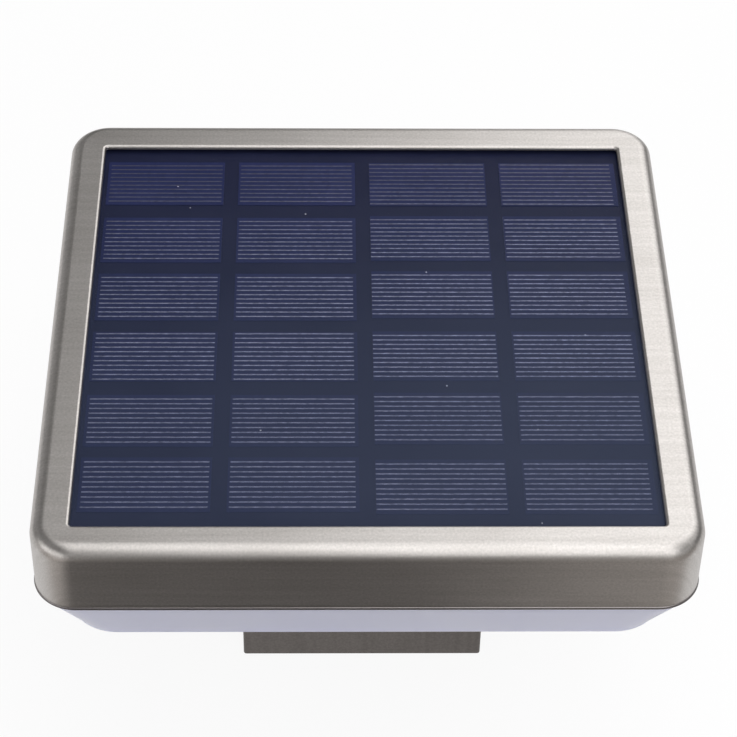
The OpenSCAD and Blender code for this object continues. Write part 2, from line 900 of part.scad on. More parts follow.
// Last points of a wire into connector number i. The wires of a pair lie one above the
// other: level is 1 for the upper one and -1 for the lower one.
function plug_in(i, level) = [for (y = [8, 3, 0])
  [connector_x[i], wire_y + y, z_wire + level * wire_gap / 2]];

// Points straight up through the grommet, moved from its middle by x and y
function through_grommet(x, y) = [for (z = [z_tray - 4, z_tray - 1.5, z_floor + 1.7, z_floor + 4])
  [grommet_at[0] + x, grommet_at[1] + y, z]];

// Points of a flat run in the tray, each given as [x, y]
function run_at(level, places) = [for (p = places) [p[0], p[1], z_wire + level * wire_gap / 2]];

module battery_lead_red() {
  color("red")
    wire(concat(
      [[tab_end, battery_y, z_cell],
       [tab_end + 2, battery_y, z_cell],
       [tab_end + 6, battery_y - 7, z_cell + 1],
       [tab_end + 6.5, battery_y - 16, z_cell + 3],
       [grommet_at[0] + 1.6, grommet_at[1] + 6, z_tray - 5.5]],
      through_grommet(1.2, 1.2),
      [[44.5, 26.5, z_wire - 1]],
      run_at(1, [[30, 23], [14, 19.5]]),
      plug_in(2, 1)));
}

module battery_lead_black() {
  color([0.1, 0.1, 0.1])
    wire(concat(
      [[-tab_end, battery_y, z_cell],
       [-tab_end - 2, battery_y, z_cell],
       [-tab_end - 4, battery_y - 8, z_cell],
       [-tab_end + 4, battery_y - 14.5, z_cell],
       [-10, battery_y - 16, z_cell],
       [20, battery_y - 17, z_cell + 1],
       [38, battery_y - 21, z_cell + 3]],
      through_grommet(-1.2, 1.2),
      [[42.5, 26.5, z_wire - 2.8]],
      run_at(-1, [[30, 23], [14, 19.5]]),
      plug_in(2, -1)));
}

// Switch wires, from the terminals through the grommet to the last connector
module switch_wire(level) {
  wire(concat(
    [[switch_x, level * lug_y, z_switch_top + lug_out],
     [switch_x, level * lug_y, z_switch_top + lug_out + 2],
     [switch_x - 2, 10 + level * 3, z_tray - 6.5],
     [grommet_at[0] + 3.5 + level * 1.2, grommet_at[1] - 5.5, z_tray - 5.5]],
    through_grommet(level * 1.2, -1.2),
    [[43.5 + level, 23, z_wire - 1.9 + level * 0.9]],
    run_at(level, [[33, 18.5], [24.5, 17]]),
    plug_in(3, level)));
}

module switch_lead_red() {
  color("red")
    switch_wire(1);
}

module switch_lead_black() {
  color([0.1, 0.1, 0.1])
    switch_wire(-1);
}

// Panel wires, from the terminals on the board's back to the first connector
module panel_wire(level) {
  x = terminal_at[0] + level * terminal_gap;
  y = terminal_at[1];
  wire(concat(
    [[x, y, z_board - terminal_t],
     [x, y, z_board - 3.5 + level],
     [x + 4, y - 2.5, z_wire + 1 + level * 1.2]],
    run_at(level, [[-34, 22], [-24.5, 17.5]]),
    plug_in(0, level)));
}

module panel_lead_red() {
  color("red")
    panel_wire(1);
}

module panel_lead_black() {
  color([0.1, 0.1, 0.1])
    panel_wire(-1);
}

// Lamp wires, up from the lamp board through the tray's floor to the second connector
module led_wire(level) {
  x = led_wire_at[0] + level * wire_gap / 2;
  y = led_wire_at[1];
  wire(concat(
    [[x, y, z_tray],
     [x, y, z_tray + 3.5 + level],
     [x - 3, y + 0.5, z_wire - 2 + level]],
    run_at(level, [[led_line - 10.25, led_wire_at[1] + 1], [60, 44], [40, 42], [10, 34], [-4, 22]]),
    plug_in(1, level)));
}

module led_lead_red() {
  color("red")
    led_wire(1);
}

module led_lead_black() {
  color([0.1, 0.1, 0.1])
    led_wire(-1);
}

// Round ear of the hinge, with a block from behind or beside its axis up to the height z1
module knuckle(x0, y0, y1, z1) {
  translate([x0, hinge_y, hinge_z])
    rotate([0, 90, 0])
      cylinder(r = knuckle_r, h = knuckle_w);
  translate([x0, hinge_y + y0, hinge_z])
    cube([knuckle_w, y1 - y0, z1 - hinge_z]);
}

// Plate that closes the lamp from below, clamps the diffuser and carries the hinge ears
module base_plate() {
  neck_play = 0.4;
  pin_seat_gap = 0.02;
  color([0.16, 0.16, 0.17])
    difference() {
      union() {
        slab(base_h, base_r, z_base, z_base_top);
        ring(rib_half, opening_r - rib_gap, rib_half - rib_t, 3, z_base_top, z_base_top + rib_h);
        for (x = [-base_knuckle_x - knuckle_w, base_knuckle_x])
          knuckle(x, -knuckle_r, knuckle_r, z_base);
      }
      slab(neck_h + neck_play, neck_r + neck_play, z_base - cut, z_base_top + cut);
      translate([-box_in_l / 2, battery_y - box_in_w / 2, z_base - cut])
        cube([box_in_l, box_in_w, base_t + 2 * cut]);
      translate([lock_x - lug_w / 2 - hole_gap, battery_y - lug_l / 2 - lug_swing - hole_gap, z_base - cut])
        cube([lug_w + 2 * hole_gap, lug_l + lug_swing + 2 * hole_gap, base_t + 2 * cut]);
      translate([switch_x, 0, z_base - cut])
        cylinder(d = switch_d + 2 * hole_gap, h = base_t + 2 * cut);
      for (c = corners)
        translate([c[0] * pillar_at, c[1] * pillar_at, z_base - cut])
          cylinder(d = base_screw_d + 2 * hole_gap, h = base_t + 2 * cut);
      translate([-base_knuckle_x - knuckle_w - cut, hinge_y, hinge_z])
        rotate([0, 90, 0])
          cylinder(d = hinge_pin_d + 2 * pin_seat_gap, h = 2 * (base_knuckle_x + knuckle_w + cut));
    }
}

module base_seal() {
  inset = 0.5;
  color("dimgray")
    ring(base_h - inset, base_r - inset, opening_h + inset, opening_r, z_base_top, z_diffuser);
}

module base_screws() {
  color("silver")
    for (c = corners)
      translate([c[0] * pillar_at, c[1] * pillar_at, z_base])
        screw(base_screw_d, base_screw_l, base_head);
}

// Steel plate on the base plate, with a square neck that goes down into the stem
module stem_adapter() {
  notch_l = 2 * (lock_x + lug_l / 2 + 1);
  notch_y = battery_y - box_w / 2 - 1;
  switch_notch = nut_w + 6;
  color("darkgray")
    difference() {
      union() {
        slab(adapter_h, 6, z_base_top, z_adapter_top);
        slab(neck_h, neck_r, z_neck, z_base_top);
      }
      slab(neck_h - neck_t, 0.5, z_neck - cut, z_adapter_top + cut);
      translate([-notch_l / 2, notch_y, z_base_top - cut])
        cube([notch_l, adapter_h, adapter_t + 2 * cut]);
      translate([switch_x - switch_notch / 2, -switch_notch / 2, z_base_top - cut])
        cube([adapter_h, switch_notch, adapter_t + 2 * cut]);
      for (c = corners)
        translate([c[0] * pillar_at, c[1] * pillar_at, z_base_top - cut])
          cylinder(d = base_screw_d + 2 * hole_gap, h = adapter_t + 2 * cut);
      for (s = [-1, 1], y = [-1, 1])
        clamp_hole(s, y, neck_h - neck_t - cut, neck_t + 2 * cut);
    }
}

// Threaded hole for a clamp screw, from x along the outside of side s
module clamp_hole(s, y, x, l) {
  rotate([0, 0, s > 0 ? 0 : 180])
    translate([x, y * clamp_pitch / 2, z_clamp])
      rotate([0, 90, 0])
        cylinder(d = clamp_d + 2 * thread_gap, h = l);
}

// Hexagon nuts welded inside the neck
module clamp_nuts() {
  color("silver")
    for (s = [-1, 1], y = [-1, 1])
      difference() {
        rotate([0, 0, s > 0 ? 0 : 180])
          translate([neck_h - neck_t - clamp_nut_h, y * clamp_pitch / 2, z_clamp])
            rotate([0, 90, 0])
              cylinder(d = clamp_nut_w, h = clamp_nut_h, $fn = 6);
        clamp_hole(s, y, neck_h - neck_t - clamp_nut_h - cut, clamp_nut_h + 2 * cut);
      }
}

// Screws whose heads clamp the stem's slotted wall to the neck
module clamp_screws() {
  play = 0.05;
  color("silver")
    for (s = [0, 180], y = [-1, 1])
      rotate([0, 0, s])
        translate([stem_h + play, y * clamp_pitch / 2, z_clamp])
          rotate([0, -90, 0])
            screw(clamp_d, clamp_screw_l, clamp_head);
}

// Hinged door of the battery box, with a rim inside its opening, a lift tab and an ear
// for the lock
module battery_door() {
  rim_gap = 0.7;
  rim_t = 1.2;
  rim_h = 1.2;
  tab = [14, 1.6, 1.4];
  ear_w = 12;
  rim_w = box_in_w - 2 * rim_gap;
  rim_l = box_in_l - 2 * rim_gap;
  reach = hinge_y - battery_y - door_w / 2 + 1.5;
  color([0.18, 0.18, 0.19])
    difference() {
      union() {
        translate([-door_l / 2, battery_y - door_w / 2, z_door])
          cube([door_l, door_w, door_t]);
        translate([0, battery_y - ear_w / 2, z_door])
          cube([lock_x, ear_w, door_t]);
        translate([lock_x, battery_y, z_door])
          cylinder(d = ear_w, h = door_t);
        translate([-rim_l / 2, battery_y - rim_w / 2, z_door_top])
          cube([rim_l, rim_w, rim_h + door_seal_t]);
        translate([-tab[0] / 2, battery_y - door_w / 2, z_door - tab[2]])
          cube(tab);
        for (x = [-door_knuckle_x, door_knuckle_x - knuckle_w])
          knuckle(x, -reach, 0, z_door_top - 0.2);
      }
      translate([-rim_l / 2 + rim_t, battery_y - rim_w / 2 + rim_t, z_door_top])
        cube([rim_l - 2 * rim_t, rim_w - 2 * rim_t, rim_h + door_seal_t + cut]);
      translate([-door_knuckle_x - cut, hinge_y, hinge_z])
        rotate([0, 90, 0])
          cylinder(d = hinge_pin_d + 2 * running_gap, h = 2 * (door_knuckle_x + cut));
      translate([lock_x, battery_y, z_door - cut])
        cylinder(d = lug_w + 2 * running_gap, h = door_t + 2 * cut);
    }
}

// Quarter-turn lock of the door: a head with a coin slot, a shank and a cross lug that
// holds behind the base plate when it is turned. It is drawn unlocked.
module door_lock() {
  head_d = 9;
  head_h = 1.6;
  slot_w = 1.4;
  z_head = z_door - head_h - lock_play;
  color([0.5, 0.5, 0.51])
    translate([lock_x, battery_y, 0])
      difference() {
        union() {
          translate([0, 0, z_head])
            cylinder(d = head_d, h = head_h);
          translate([0, 0, z_head])
            cylinder(d = lug_w, h = lug_z + lug_h - z_head);
          translate([-lug_w / 2, -lug_l / 2, lug_z])
            cube([lug_w, lug_l, lug_h]);
        }
        translate([-slot_w / 2, -head_d / 2 - cut, z_head - cut])
          cube([slot_w, head_d + 2 * cut, cut + head_h * 0.55]);
      }
}

// Flat seal on the door's lap, round the rim
module door_seal() {
  outer_inset = 0.5;
  inner_inset = 0.6;
  play = 0.05;
  color("dimgray")
    translate([0, battery_y, z_door_top])
      difference() {
        translate([outer_inset - door_l / 2, outer_inset - door_w / 2, 0])
          cube([door_l - 2 * outer_inset, door_w - 2 * outer_inset, door_seal_t - play]);
        translate([inner_inset - box_in_l / 2, inner_inset - box_in_w / 2, -cut])
          cube([box_in_l - 2 * inner_inset, box_in_w - 2 * inner_inset, door_seal_t + 2 * cut]);
      }
}

module door_hinge_pin() {
  pin_l = 2 * (base_knuckle_x + knuckle_w);
  color("silver")
    translate([-pin_l / 2, hinge_y, hinge_z])
      rotate([0, 90, 0])
        cylinder(d = hinge_pin_d, h = pin_l);
}

// Push-button switch: bezel, threaded barrel and the bore that guides the button
module switch_body() {
  bore_d = button_d + 2 * running_gap;
  color([0.55, 0.55, 0.56])
    translate([switch_x, 0, 0])
      difference() {
        union() {
          translate([0, 0, z_bezel])
            cylinder(d = bezel_d, h = bezel_t);
          translate([0, 0, z_bezel])
            cylinder(d = switch_d, h = z_switch_top - z_bezel);
        }
        translate([0, 0, z_bezel - cut])
          cylinder(d = bore_d, h = cut + button_l + button_travel);
      }
}

module switch_seal() {
  color("black")
    translate([switch_x, 0, z_base - switch_seal_t])
      difference() {
        cylinder(d = bezel_d - 0.6, h = switch_seal_t);
        translate([0, 0, -cut])
          cylinder(d = switch_d + 0.2, h = switch_seal_t + 2 * cut);
      }
}

module switch_nut() {
  color("silver")
    translate([switch_x, 0, z_base_top])
      difference() {
        cylinder(d = nut_w, h = nut_h, $fn = 6);
        translate([0, 0, -cut])
          cylinder(d = switch_d + 2 * thread_gap, h = nut_h + 2 * cut);
      }
}

module switch_terminals() {
  color("gold")
    for (s = [-1, 1])
      translate([switch_x - 0.4, s * lug_y - 1, z_switch_top])
        cube([0.8, 2, lug_out]);
}

// Button that a finger pushes up into the switch, with a shallow dished end
module power_button() {
  dish_r = 12;
  color([0.1, 0.1, 0.1])
    translate([switch_x, 0, z_button])
      difference() {
        cylinder(d = button_d, h = button_l);
        translate([0, 0, 0.35 - dish_r])
          sphere(r = dish_r);
      }
}

// Seal that is stuck to the base plate and rests on the stem's top end
module stem_seal() {
  inset = 0.2;
  play = 0.05;
  color("black")
    ring(stem_h - inset, stem_r - inset, neck_h + play, neck_r + play, z_stem_top + play, z_base);
}

// Slot, open at the top, through which the head with its clamp screws lifts off
module clamp_slot(y) {
  slot_gap = 0.3;
  slot_w = clamp_d + 2 * slot_gap;
  translate([0, y, z_clamp])
    rotate([0, 90, 0])
      translate([0, 0, stem_in_h - cut])
        cylinder(d = slot_w, h = stem_t + 2 * cut);
  translate([stem_in_h - cut, y - slot_w / 2, z_clamp])
    cube([stem_t + 2 * cut, slot_w, z_stem_top - z_clamp + cut]);
}

module stem_tube() {
  color([0.45, 0.43, 0.41])
    difference() {
      ring(stem_h, stem_r, stem_in_h, stem_in_r, 0, z_stem_top);
      for (a = [0, 180], y = [-1, 1])
        rotate([0, 0, a])
          clamp_slot(y * clamp_pitch / 2);
    }
}

// Bolt holes of the foot plate and of the pad under it
module foot_holes(z0, z1) {
  for (c = corners)
    translate([c[0] * foot_pitch / 2, c[1] * foot_pitch / 2, z0 - cut])
      cylinder(d = foot_hole_d, h = z1 - z0 + 2 * cut);
}

// Plate welded into the stem's lower end, above the pad
module foot_plate() {
  color("darkgray")
    difference() {
      slab(stem_in_h, stem_in_r + weld_gap, z_foot, z_foot + foot_t);
      foot_holes(z_foot, z_foot + foot_t);
    }
}

// Rubber pad inside the stem's lower end, flush with it
module foot_pad() {
  pad_gap = 0.3;
  color([0.12, 0.12, 0.12])
    difference() {
      slab(stem_in_h - pad_gap, stem_in_r + weld_gap, 0, foot_pad_t);
      foot_holes(0, foot_pad_t);
    }
}

top_cover();
cover_brackets();
panel_tape();
panel_resin();
solar_cells();
panel_board();
panel_terminals();
inner_tray();
wire_grommet();
cover_screws();
rim_seal();
diffuser();
reflector();
led_board();
leds();
led_board_screws();
control_board();
board_screws();
control_chips();
inductor();
capacitors();
wire_connectors();
battery_box();
battery_cell();
battery_spring();
battery_contact();
battery_lead_red();
battery_lead_black();
panel_lead_red();
panel_lead_black();
led_lead_red();
led_lead_black();
switch_lead_red();
switch_lead_black();
base_plate();
base_seal();
base_screws();
stem_adapter();
clamp_nuts();
clamp_screws();
battery_door();
door_seal();
door_hinge_pin();
door_lock();
switch_body();
switch_seal();
switch_nut();
switch_terminals();
power_button();
stem_seal();
stem_tube();
foot_plate();
foot_pad();
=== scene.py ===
"""Solar lawn light: the looks of its pieces, the studio and the camera. Lengths are in metres."""

import json
import math
import bmesh
import bpy
import numpy as np
from mathutils import Matrix, Vector


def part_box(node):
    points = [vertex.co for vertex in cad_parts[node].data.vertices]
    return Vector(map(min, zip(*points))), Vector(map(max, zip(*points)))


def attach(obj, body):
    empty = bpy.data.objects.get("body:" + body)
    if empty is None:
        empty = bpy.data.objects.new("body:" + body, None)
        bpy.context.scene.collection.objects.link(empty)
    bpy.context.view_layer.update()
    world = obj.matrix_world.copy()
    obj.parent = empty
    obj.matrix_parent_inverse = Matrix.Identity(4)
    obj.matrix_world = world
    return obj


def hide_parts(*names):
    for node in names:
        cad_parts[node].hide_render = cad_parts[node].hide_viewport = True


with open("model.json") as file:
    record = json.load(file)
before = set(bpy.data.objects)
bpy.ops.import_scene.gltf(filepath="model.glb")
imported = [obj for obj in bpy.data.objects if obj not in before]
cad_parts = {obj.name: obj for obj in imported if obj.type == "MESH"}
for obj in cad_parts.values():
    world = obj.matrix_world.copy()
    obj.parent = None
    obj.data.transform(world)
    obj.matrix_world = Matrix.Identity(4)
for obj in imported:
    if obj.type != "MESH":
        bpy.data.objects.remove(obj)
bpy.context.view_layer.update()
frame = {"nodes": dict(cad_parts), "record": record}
MM = 0.001

# Camera, as fitted to the photograph's outline and panel edges
PHOTO_PX = 737
FOCAL_PX = 2507.6
SENSOR_MM = 36
EYE = Vector((-13.97, -586.8, 665.0)) * MM
PITCH_DOWN = math.radians(44.09)
YAW = math.radians(1.51)
ROLL = math.radians(1.08)
CLIP_START = 0.02

# Head, with the same sizes as the solids
HEAD_R = 13 * MM
SHEET = 0.8 * MM
FLANGE = 12 * MM
WINDOW_FORWARD = 1.05 * MM
SHOULDER_R = 4.5 * MM
LIP_R = 1 * MM
HEM_R = 0.7 * MM
PANEL_DROP = 1.4 * MM
PANEL_R = 5 * MM
# Distance from a fold at which a flat already shades as a flat
FLAT_FROM_FOLD = 0.08 * MM
# Heights above the hem's lower edge between which its painted shade fades out
HEM_SHADE_LOW = 0.95 * MM
HEM_SHADE_HIGH = 1.6 * MM

# Diffuser, with the same sizes as the solid
PAN_R = 12 * MM
PAN_FOOT_R = 16 * MM
PAN_BOTTOM = 92.1 * MM
PAN_EDGE_R = 1.5 * MM
PAN_WALL = 2.5 * MM
PAN_OPENING = 74 * MM
PAN_OPENING_R = 6 * MM
PAN_INNER_EDGE = 0.5 * MM

# Contact lines on the solar cells
LINE_PITCH = 2.07 * MM
LINE_W = 0.45 * MM
LINE_T = 0.03 * MM
LINE_COUNT = 10
# Cells with one line more, by column and row
CELLS_WITH_ONE_MORE = {(0, 3), (1, 3), (2, 0), (3, 0)}
# Insets of each column's lines from the left and right edges of its cells, in millimetres
LINE_INSETS = [(0.95, 0.75), (0.7, 1.15), (0.1, 0.45), (0.45, 1.55)]
# Places, from rear to front, between which the lines grow brighter as their painted shade fades
# out
LINES_SHADED_Y = 72 * MM
LINES_BRIGHT_Y = -16 * MM

# Resin over the cells. Its painted sheen, a thin bluish layer over the cells, is none at the
# rear, and has these shares at the front's left and right
RESIN_OVER_LINES = 0.05 * MM
PAINTED_SHEEN_LEFT = 0.21
PAINTED_SHEEN_RIGHT = 0.34
PAINTED_SHEEN_NONE_Y = 80 * MM
PAINTED_SHEEN_FULL_Y = -40 * MM
SPECK_ALPHA = 0.6
# Places between which the painted sheen and the contact lines' painted shade change from
# the panel's left to its right
PANEL_LEFT_X = -70 * MM
PANEL_RIGHT_X = 70 * MM

# Battery cell: its sleeve's edge, its sunk ends, the groove below the plus end, and the pole
END_SUNK = 0.25 * MM
SHOULDER_SUNK = 0.3 * MM
SLEEVE_EDGE_R = 0.6 * MM
GROOVE_BACK = 4.4 * MM
GROOVE_OUT = 0.25 * MM
GROOVE_R = 0.9 * MM
POLE_H = 1.4 * MM
POLE_EDGE_R = 0.35 * MM
POLE_FLAT_R = 2.35 * MM
AXIS_HOLE_R = 0.2 * MM

# Angle between faces up to which they shade as one
SMOOTH_UP_TO_DEG = 32
# Eased copies of solids: points that are one, faces that are one, and edges to round off
SAME_POINT = 0.002 * MM
SAME_FACE_DEG = 0.6
SHARP_EDGE_DEG = 40

# Depths of the relief in the finishes
BRUSH_DEPTH = 0.006 * MM
STEEL_DEPTH = 0.03 * MM
PLATED_DEPTH = 0.01 * MM
OPAL_DEPTH = 0.008 * MM
TRACE_DEPTH = 0.03 * MM
PHOSPHOR_DEPTH = 0.05 * MM
CREASE_DEPTH = 0.08 * MM

# Frequency of the bundles of brush lines, as a share of single lines', across and along
BUNDLES_ACROSS = 0.06
BUNDLES_ALONG = 0.3
# Grey of a dust cell's own colour above which the cell holds a speck
SPECK_ABOVE = 0.6

# Parts of a mask's range over which a ramp runs: what a noise mostly keeps to, its middle,
# and all of it
NOISE = (0.3, 0.7)
MIDDLE = (0.35, 0.65)
WHOLE = (0.0, 1.0)

WHITE = (1.0, 1.0, 1.0)


def object_from(name, points, faces, uv=None):
    """Mesh object from arrays of points and faces, smooth but for its sharp edges.
    uv holds one pair for each point."""
    mesh = bpy.data.meshes.new(name)
    mesh.from_pydata(points, [], faces)
    if uv is not None:
        corner = np.empty(len(mesh.loops), np.int32)
        mesh.loops.foreach_get("vertex_index", corner)
        layer = mesh.uv_layers.new(name="sheet")
        layer.data.foreach_set("uv", np.asarray(uv)[corner].ravel())
    return shown(name, mesh)


def shown(name, mesh):
    """Object for a mesh, linked and shaded smooth but for its sharp edges."""
    mesh.validate()
    mesh.shade_smooth()
    mesh.set_sharp_from_angle(angle=math.radians(SMOOTH_UP_TO_DEG))
    obj = bpy.data.objects.new(name, mesh)
    bpy.context.scene.collection.objects.link(obj)
    return obj


def closed_grid(rows, columns):
    """Four-sided faces of a grid of points that is closed both ways: face (i, j) has the
    corners i and i + 1, j and j + 1, counted round."""
    i, j = np.meshgrid(np.arange(rows), np.arange(columns), indexing="ij")
    i2, j2 = (i + 1) % rows, (j + 1) % columns
    quads = np.stack([i * columns + j, i2 * columns + j, i2 * columns + j2, i * columns + j2], -1)
    return quads.reshape(-1, 4)


def square_stations(side_n=24, arc_n=20):
    """Stations round a square with round corners. Each side has side_n steps at one normal,
    and each corner turns the normal through 90 degrees in arc_n steps. A station is its
    place on the square of side 2 that joins the corners' centres, and its outward normal."""
    along = np.linspace(-1, 1, side_n + 1)
    turn = np.linspace(0, math.pi / 2, arc_n + 1)[1:-1]
    core = np.concatenate([np.stack([np.ones_like(along), along], 1), np.ones((len(turn), 2))])
    angle = np.concatenate([np.zeros_like(along), turn])
    cores, angles = [], []
    for quarter in range(4):
        a = quarter * math.pi / 2
        cos, sin = round(math.cos(a)), round(math.sin(a))
        cores.append(core @ np.array([[cos, sin], [-sin, cos]]))
        angles.append(angle + a)
    angles = np.concatenate(angles)
    return np.concatenate(cores), np.stack([np.cos(angles), np.sin(angles)], 1)


def carried_round(name, halves, radii, heights, unrolled=None, forward=0.0):
    """Closed section carried round a square with round corners. Point k of the section is
    at core x (half - radius) + normal x radius, moved forward by its own distance, at its
    height. With unrolled, the UV map lays the bent sheet flat: core x (half - radius) +
    normal x unrolled distance."""
    core, normal = square_stations()
    halves, radii, heights = (np.asarray(a, float) for a in (halves, radii, heights))
    move = np.zeros((len(halves), 1, 2))
    move[:, 0, 1] = -np.broadcast_to(forward, halves.shape)
    centres = core[None] * (halves - radii)[:, None, None] + move
    flat = centres + normal[None] * radii[:, None, None]
    z = np.broadcast_to(heights[:, None, None], flat.shape[:2] + (1,))
    points = np.concatenate([flat, z], -1).reshape(-1, 3)
    uv = None
    if unrolled is not None:
        span = np.asarray(unrolled, float)[:, None, None]
        uv = (centres + normal[None] * span).reshape(-1, 2)
    return object_from(name, points, closed_grid(len(halves), len(core)), uv)


def arc(x, z, radius, start, end, steps):
    """Points of an arc round (x, z), from the start angle to the end angle in degrees."""
    a = np.radians(np.linspace(start, end, steps + 1))
    return np.stack([x + radius * np.cos(a), z + radius * np.sin(a)], 1)


def between_folds(start, end, count):
    """Places on a flat from one fold to the next, evenly spaced but for the first and last,
    which lie close to the folds."""
    places = np.linspace(start, end, count)
    places[[0, -1]] += np.array([1, -1]) * math.copysign(FLAT_FROM_FOLD, end - start)
    return places


def folded_cover():
    """The folded stainless cover: a closed section with lip, flange, shoulder, skirt and
    rolled hem. Its distance d is measured from the centre of the corner's arc. The lip lies
    forward of the middle, and the flange evens that out up to the shoulder."""
    low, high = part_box("top_cover")
    top, hem = high.z, low.z
    outer = HEAD_R
    lip = HEAD_R - FLANGE
    fold = math.degrees(math.acos((SHEET / 2) / HEM_R))
    hem_arc = arc(outer - SHEET / 2, hem + HEM_R, HEM_R, fold, -180 - fold, 20)
    flange = between_folds(lip + LIP_R, outer - SHOULDER_R, 8)
    skirt = between_folds(top - SHOULDER_R, hem_arc[0, 1], 10)
    section = np.concatenate([
        arc(lip + LIP_R, top - LIP_R, LIP_R, 180, 90, 8),
        np.stack([flange, np.full_like(flange, top)], 1),
        arc(outer - SHOULDER_R, top - SHOULDER_R, SHOULDER_R, 90, 0, 16),
        np.stack([np.full_like(skirt, outer), skirt], 1),
        hem_arc,
        arc(outer - SHOULDER_R, top - SHOULDER_R, SHOULDER_R - SHEET, 0, 90, 12),
        arc(lip + LIP_R, top - LIP_R, LIP_R - SHEET, 90, 180, 5),
        [[lip + SHEET, top - PANEL_DROP], [lip, top - PANEL_DROP]],
    ])
    d, z = section.T
    length = np.concatenate([[0], np.cumsum(np.hypot(np.diff(d), np.diff(z)))])
    core_half = high.x - (HEM_R - SHEET / 2) - HEAD_R
    at_lip = np.clip((outer - SHOULDER_R - d) / (FLANGE - SHOULDER_R - LIP_R), 0, 1)
    return carried_round(
        "cover_shell", core_half + d, d, z, length + lip, WINDOW_FORWARD * at_lip)


def diffuser_pan():
    """The opal pan: its outer wall leans in from the rim to a rounded lower edge, its floor
    runs in to the opening, and its inner wall follows at the wall's thickness. Its corner
    radius grows evenly from the rim's to the bottom's."""
    low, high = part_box("diffuser")
    rim = high.x
    wall_z = np.linspace(high.z, low.z + PAN_EDGE_R, 8)
    lean = (high.z - wall_z) / (high.z - low.z - PAN_EDGE_R)
    edge = np.radians(np.linspace(90, 0, 9)[1:])
    inner = np.linspace(low.z + PAN_WALL + PAN_INNER_EDGE, high.z, 6)
    inner_lean = (inner - inner[0]) / (inner[-1] - inner[0])
    floor = low.z + PAN_WALL
    inner_bottom = PAN_BOTTOM - PAN_WALL
    halves = np.concatenate([
        rim + (PAN_BOTTOM - rim) * lean,
        PAN_BOTTOM - PAN_EDGE_R * (1 - np.sin(edge)),
        [PAN_OPENING, PAN_OPENING, inner_bottom - PAN_INNER_EDGE],
        inner_bottom + (rim - PAN_WALL - inner_bottom) * inner_lean])
    radii = np.concatenate([
        PAN_R + (PAN_FOOT_R - PAN_R) * lean,
        PAN_FOOT_R - PAN_EDGE_R * (1 - np.sin(edge)),
        [PAN_OPENING_R, PAN_OPENING_R, PAN_FOOT_R - PAN_WALL - PAN_INNER_EDGE],
        PAN_FOOT_R - PAN_WALL + (PAN_R - PAN_FOOT_R) * inner_lean])
    heights = np.concatenate([
        wall_z, low.z + PAN_EDGE_R * (1 - np.cos(edge)), [low.z, floor, floor], inner])
    return carried_round("diffuser_pan", halves[::-1], radii[::-1], heights[::-1])


def cell_places():
    """Column, row and the edges x0, x1, y0, y1 of every solar cell, read off the solids."""
    mesh = frame["nodes"]["solar_cells"].data
    co = np.empty(len(mesh.vertices) * 3)
    mesh.vertices.foreach_get("co", co)
    co = co.reshape(-1, 3).round(6)
    edges_x = np.unique(co[:, 0]).reshape(-1, 2)
    for column, (x0, x1) in enumerate(edges_x):
        edges_y = np.unique(co[co[:, 0] == x0, 1]).reshape(-1, 2)[::-1]
        for row, (y0, y1) in enumerate(edges_y):
            yield column, row, x0, x1, y0, y1


def contact_lines():
    """Fine printed contact lines of every cell: flat strips at one pitch, centred on the
    cell's depth. Strip k is at y = middle + (k - (count - 1) / 2) x pitch."""
    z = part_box("solar_cells")[1].z
    strips = []
    for column, row, x0, x1, y0, y1 in cell_places():
        count = LINE_COUNT + ((column, row) in CELLS_WITH_ONE_MORE)
        left, right = LINE_INSETS[column]
        y = (y0 + y1) / 2 + (np.arange(count) - (count - 1) / 2) * LINE_PITCH
        strips.append(np.stack([
            np.full(count, x0 + left * MM), np.full(count, x1 - right * MM),
            y - LINE_W / 2, y + LINE_W / 2], 1))
    box = np.concatenate(strips)
    x, y = box[:, [0, 1, 1, 0]], box[:, [2, 2, 3, 3]]
    lower = np.stack([x, y, np.full_like(x, z)], -1)
    upper = lower + [0, 0, LINE_T]
    points = np.concatenate([lower, upper], 1).reshape(-1, 3)
    brick = np.array([
        [3, 2, 1, 0], [4, 5, 6, 7], [0, 1, 5, 4], [1, 2, 6, 5], [2, 3, 7, 6], [3, 0, 4, 7]])
    faces = (brick[None] + 8 * np.arange(len(box))[:, None, None]).reshape(-1, 4)
    return object_from("contact_lines", points, faces)


def resin_layer():
    """Clear resin over the cells: the panel's square with round corners, from just above the
    contact lines up to the panel's face."""
    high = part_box("panel_resin")[1]
    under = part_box("solar_cells")[1].z + LINE_T + RESIN_OVER_LINES
    core, normal = square_stations(8, 8)
    outline = core * (high.x - PANEL_R) + normal * PANEL_R
    count = len(outline)
    points = np.concatenate([np.insert(outline, 2, z, axis=1) for z in (under, high.z)])
    j = np.arange(count)
    j2 = (j + 1) % count
    sides = np.stack([j, j2, count + j2, count + j], 1)
    faces = [list(q) for q in sides] + [list(j[::-1]), list(count + j)]
    return object_from("resin_layer", points, faces)


def eased(node, name, width, segments=2):
    """Copy of a solid with its flat faces made whole and its sharp edges rounded off."""
    mesh = frame["nodes"][node].data.copy()
    mesh.materials.clear()
    solid = bmesh.new()
    solid.from_mesh(mesh)
    bmesh.ops.remove_doubles(solid, verts=solid.verts, dist=SAME_POINT)
    bmesh.ops.dissolve_limit(
        solid, angle_limit=math.radians(SAME_FACE_DEG), verts=solid.verts, edges=solid.edges)
    solid.to_mesh(mesh)
    solid.free()
    obj = shown(name, mesh)
    bevel = obj.modifiers.new("eased_edges", "BEVEL")
    bevel.width = width
    bevel.segments = segments
    bevel.limit_method = "ANGLE"
    bevel.angle_limit = math.radians(SHARP_EDGE_DEG)
    bevel.harden_normals = True
    return obj


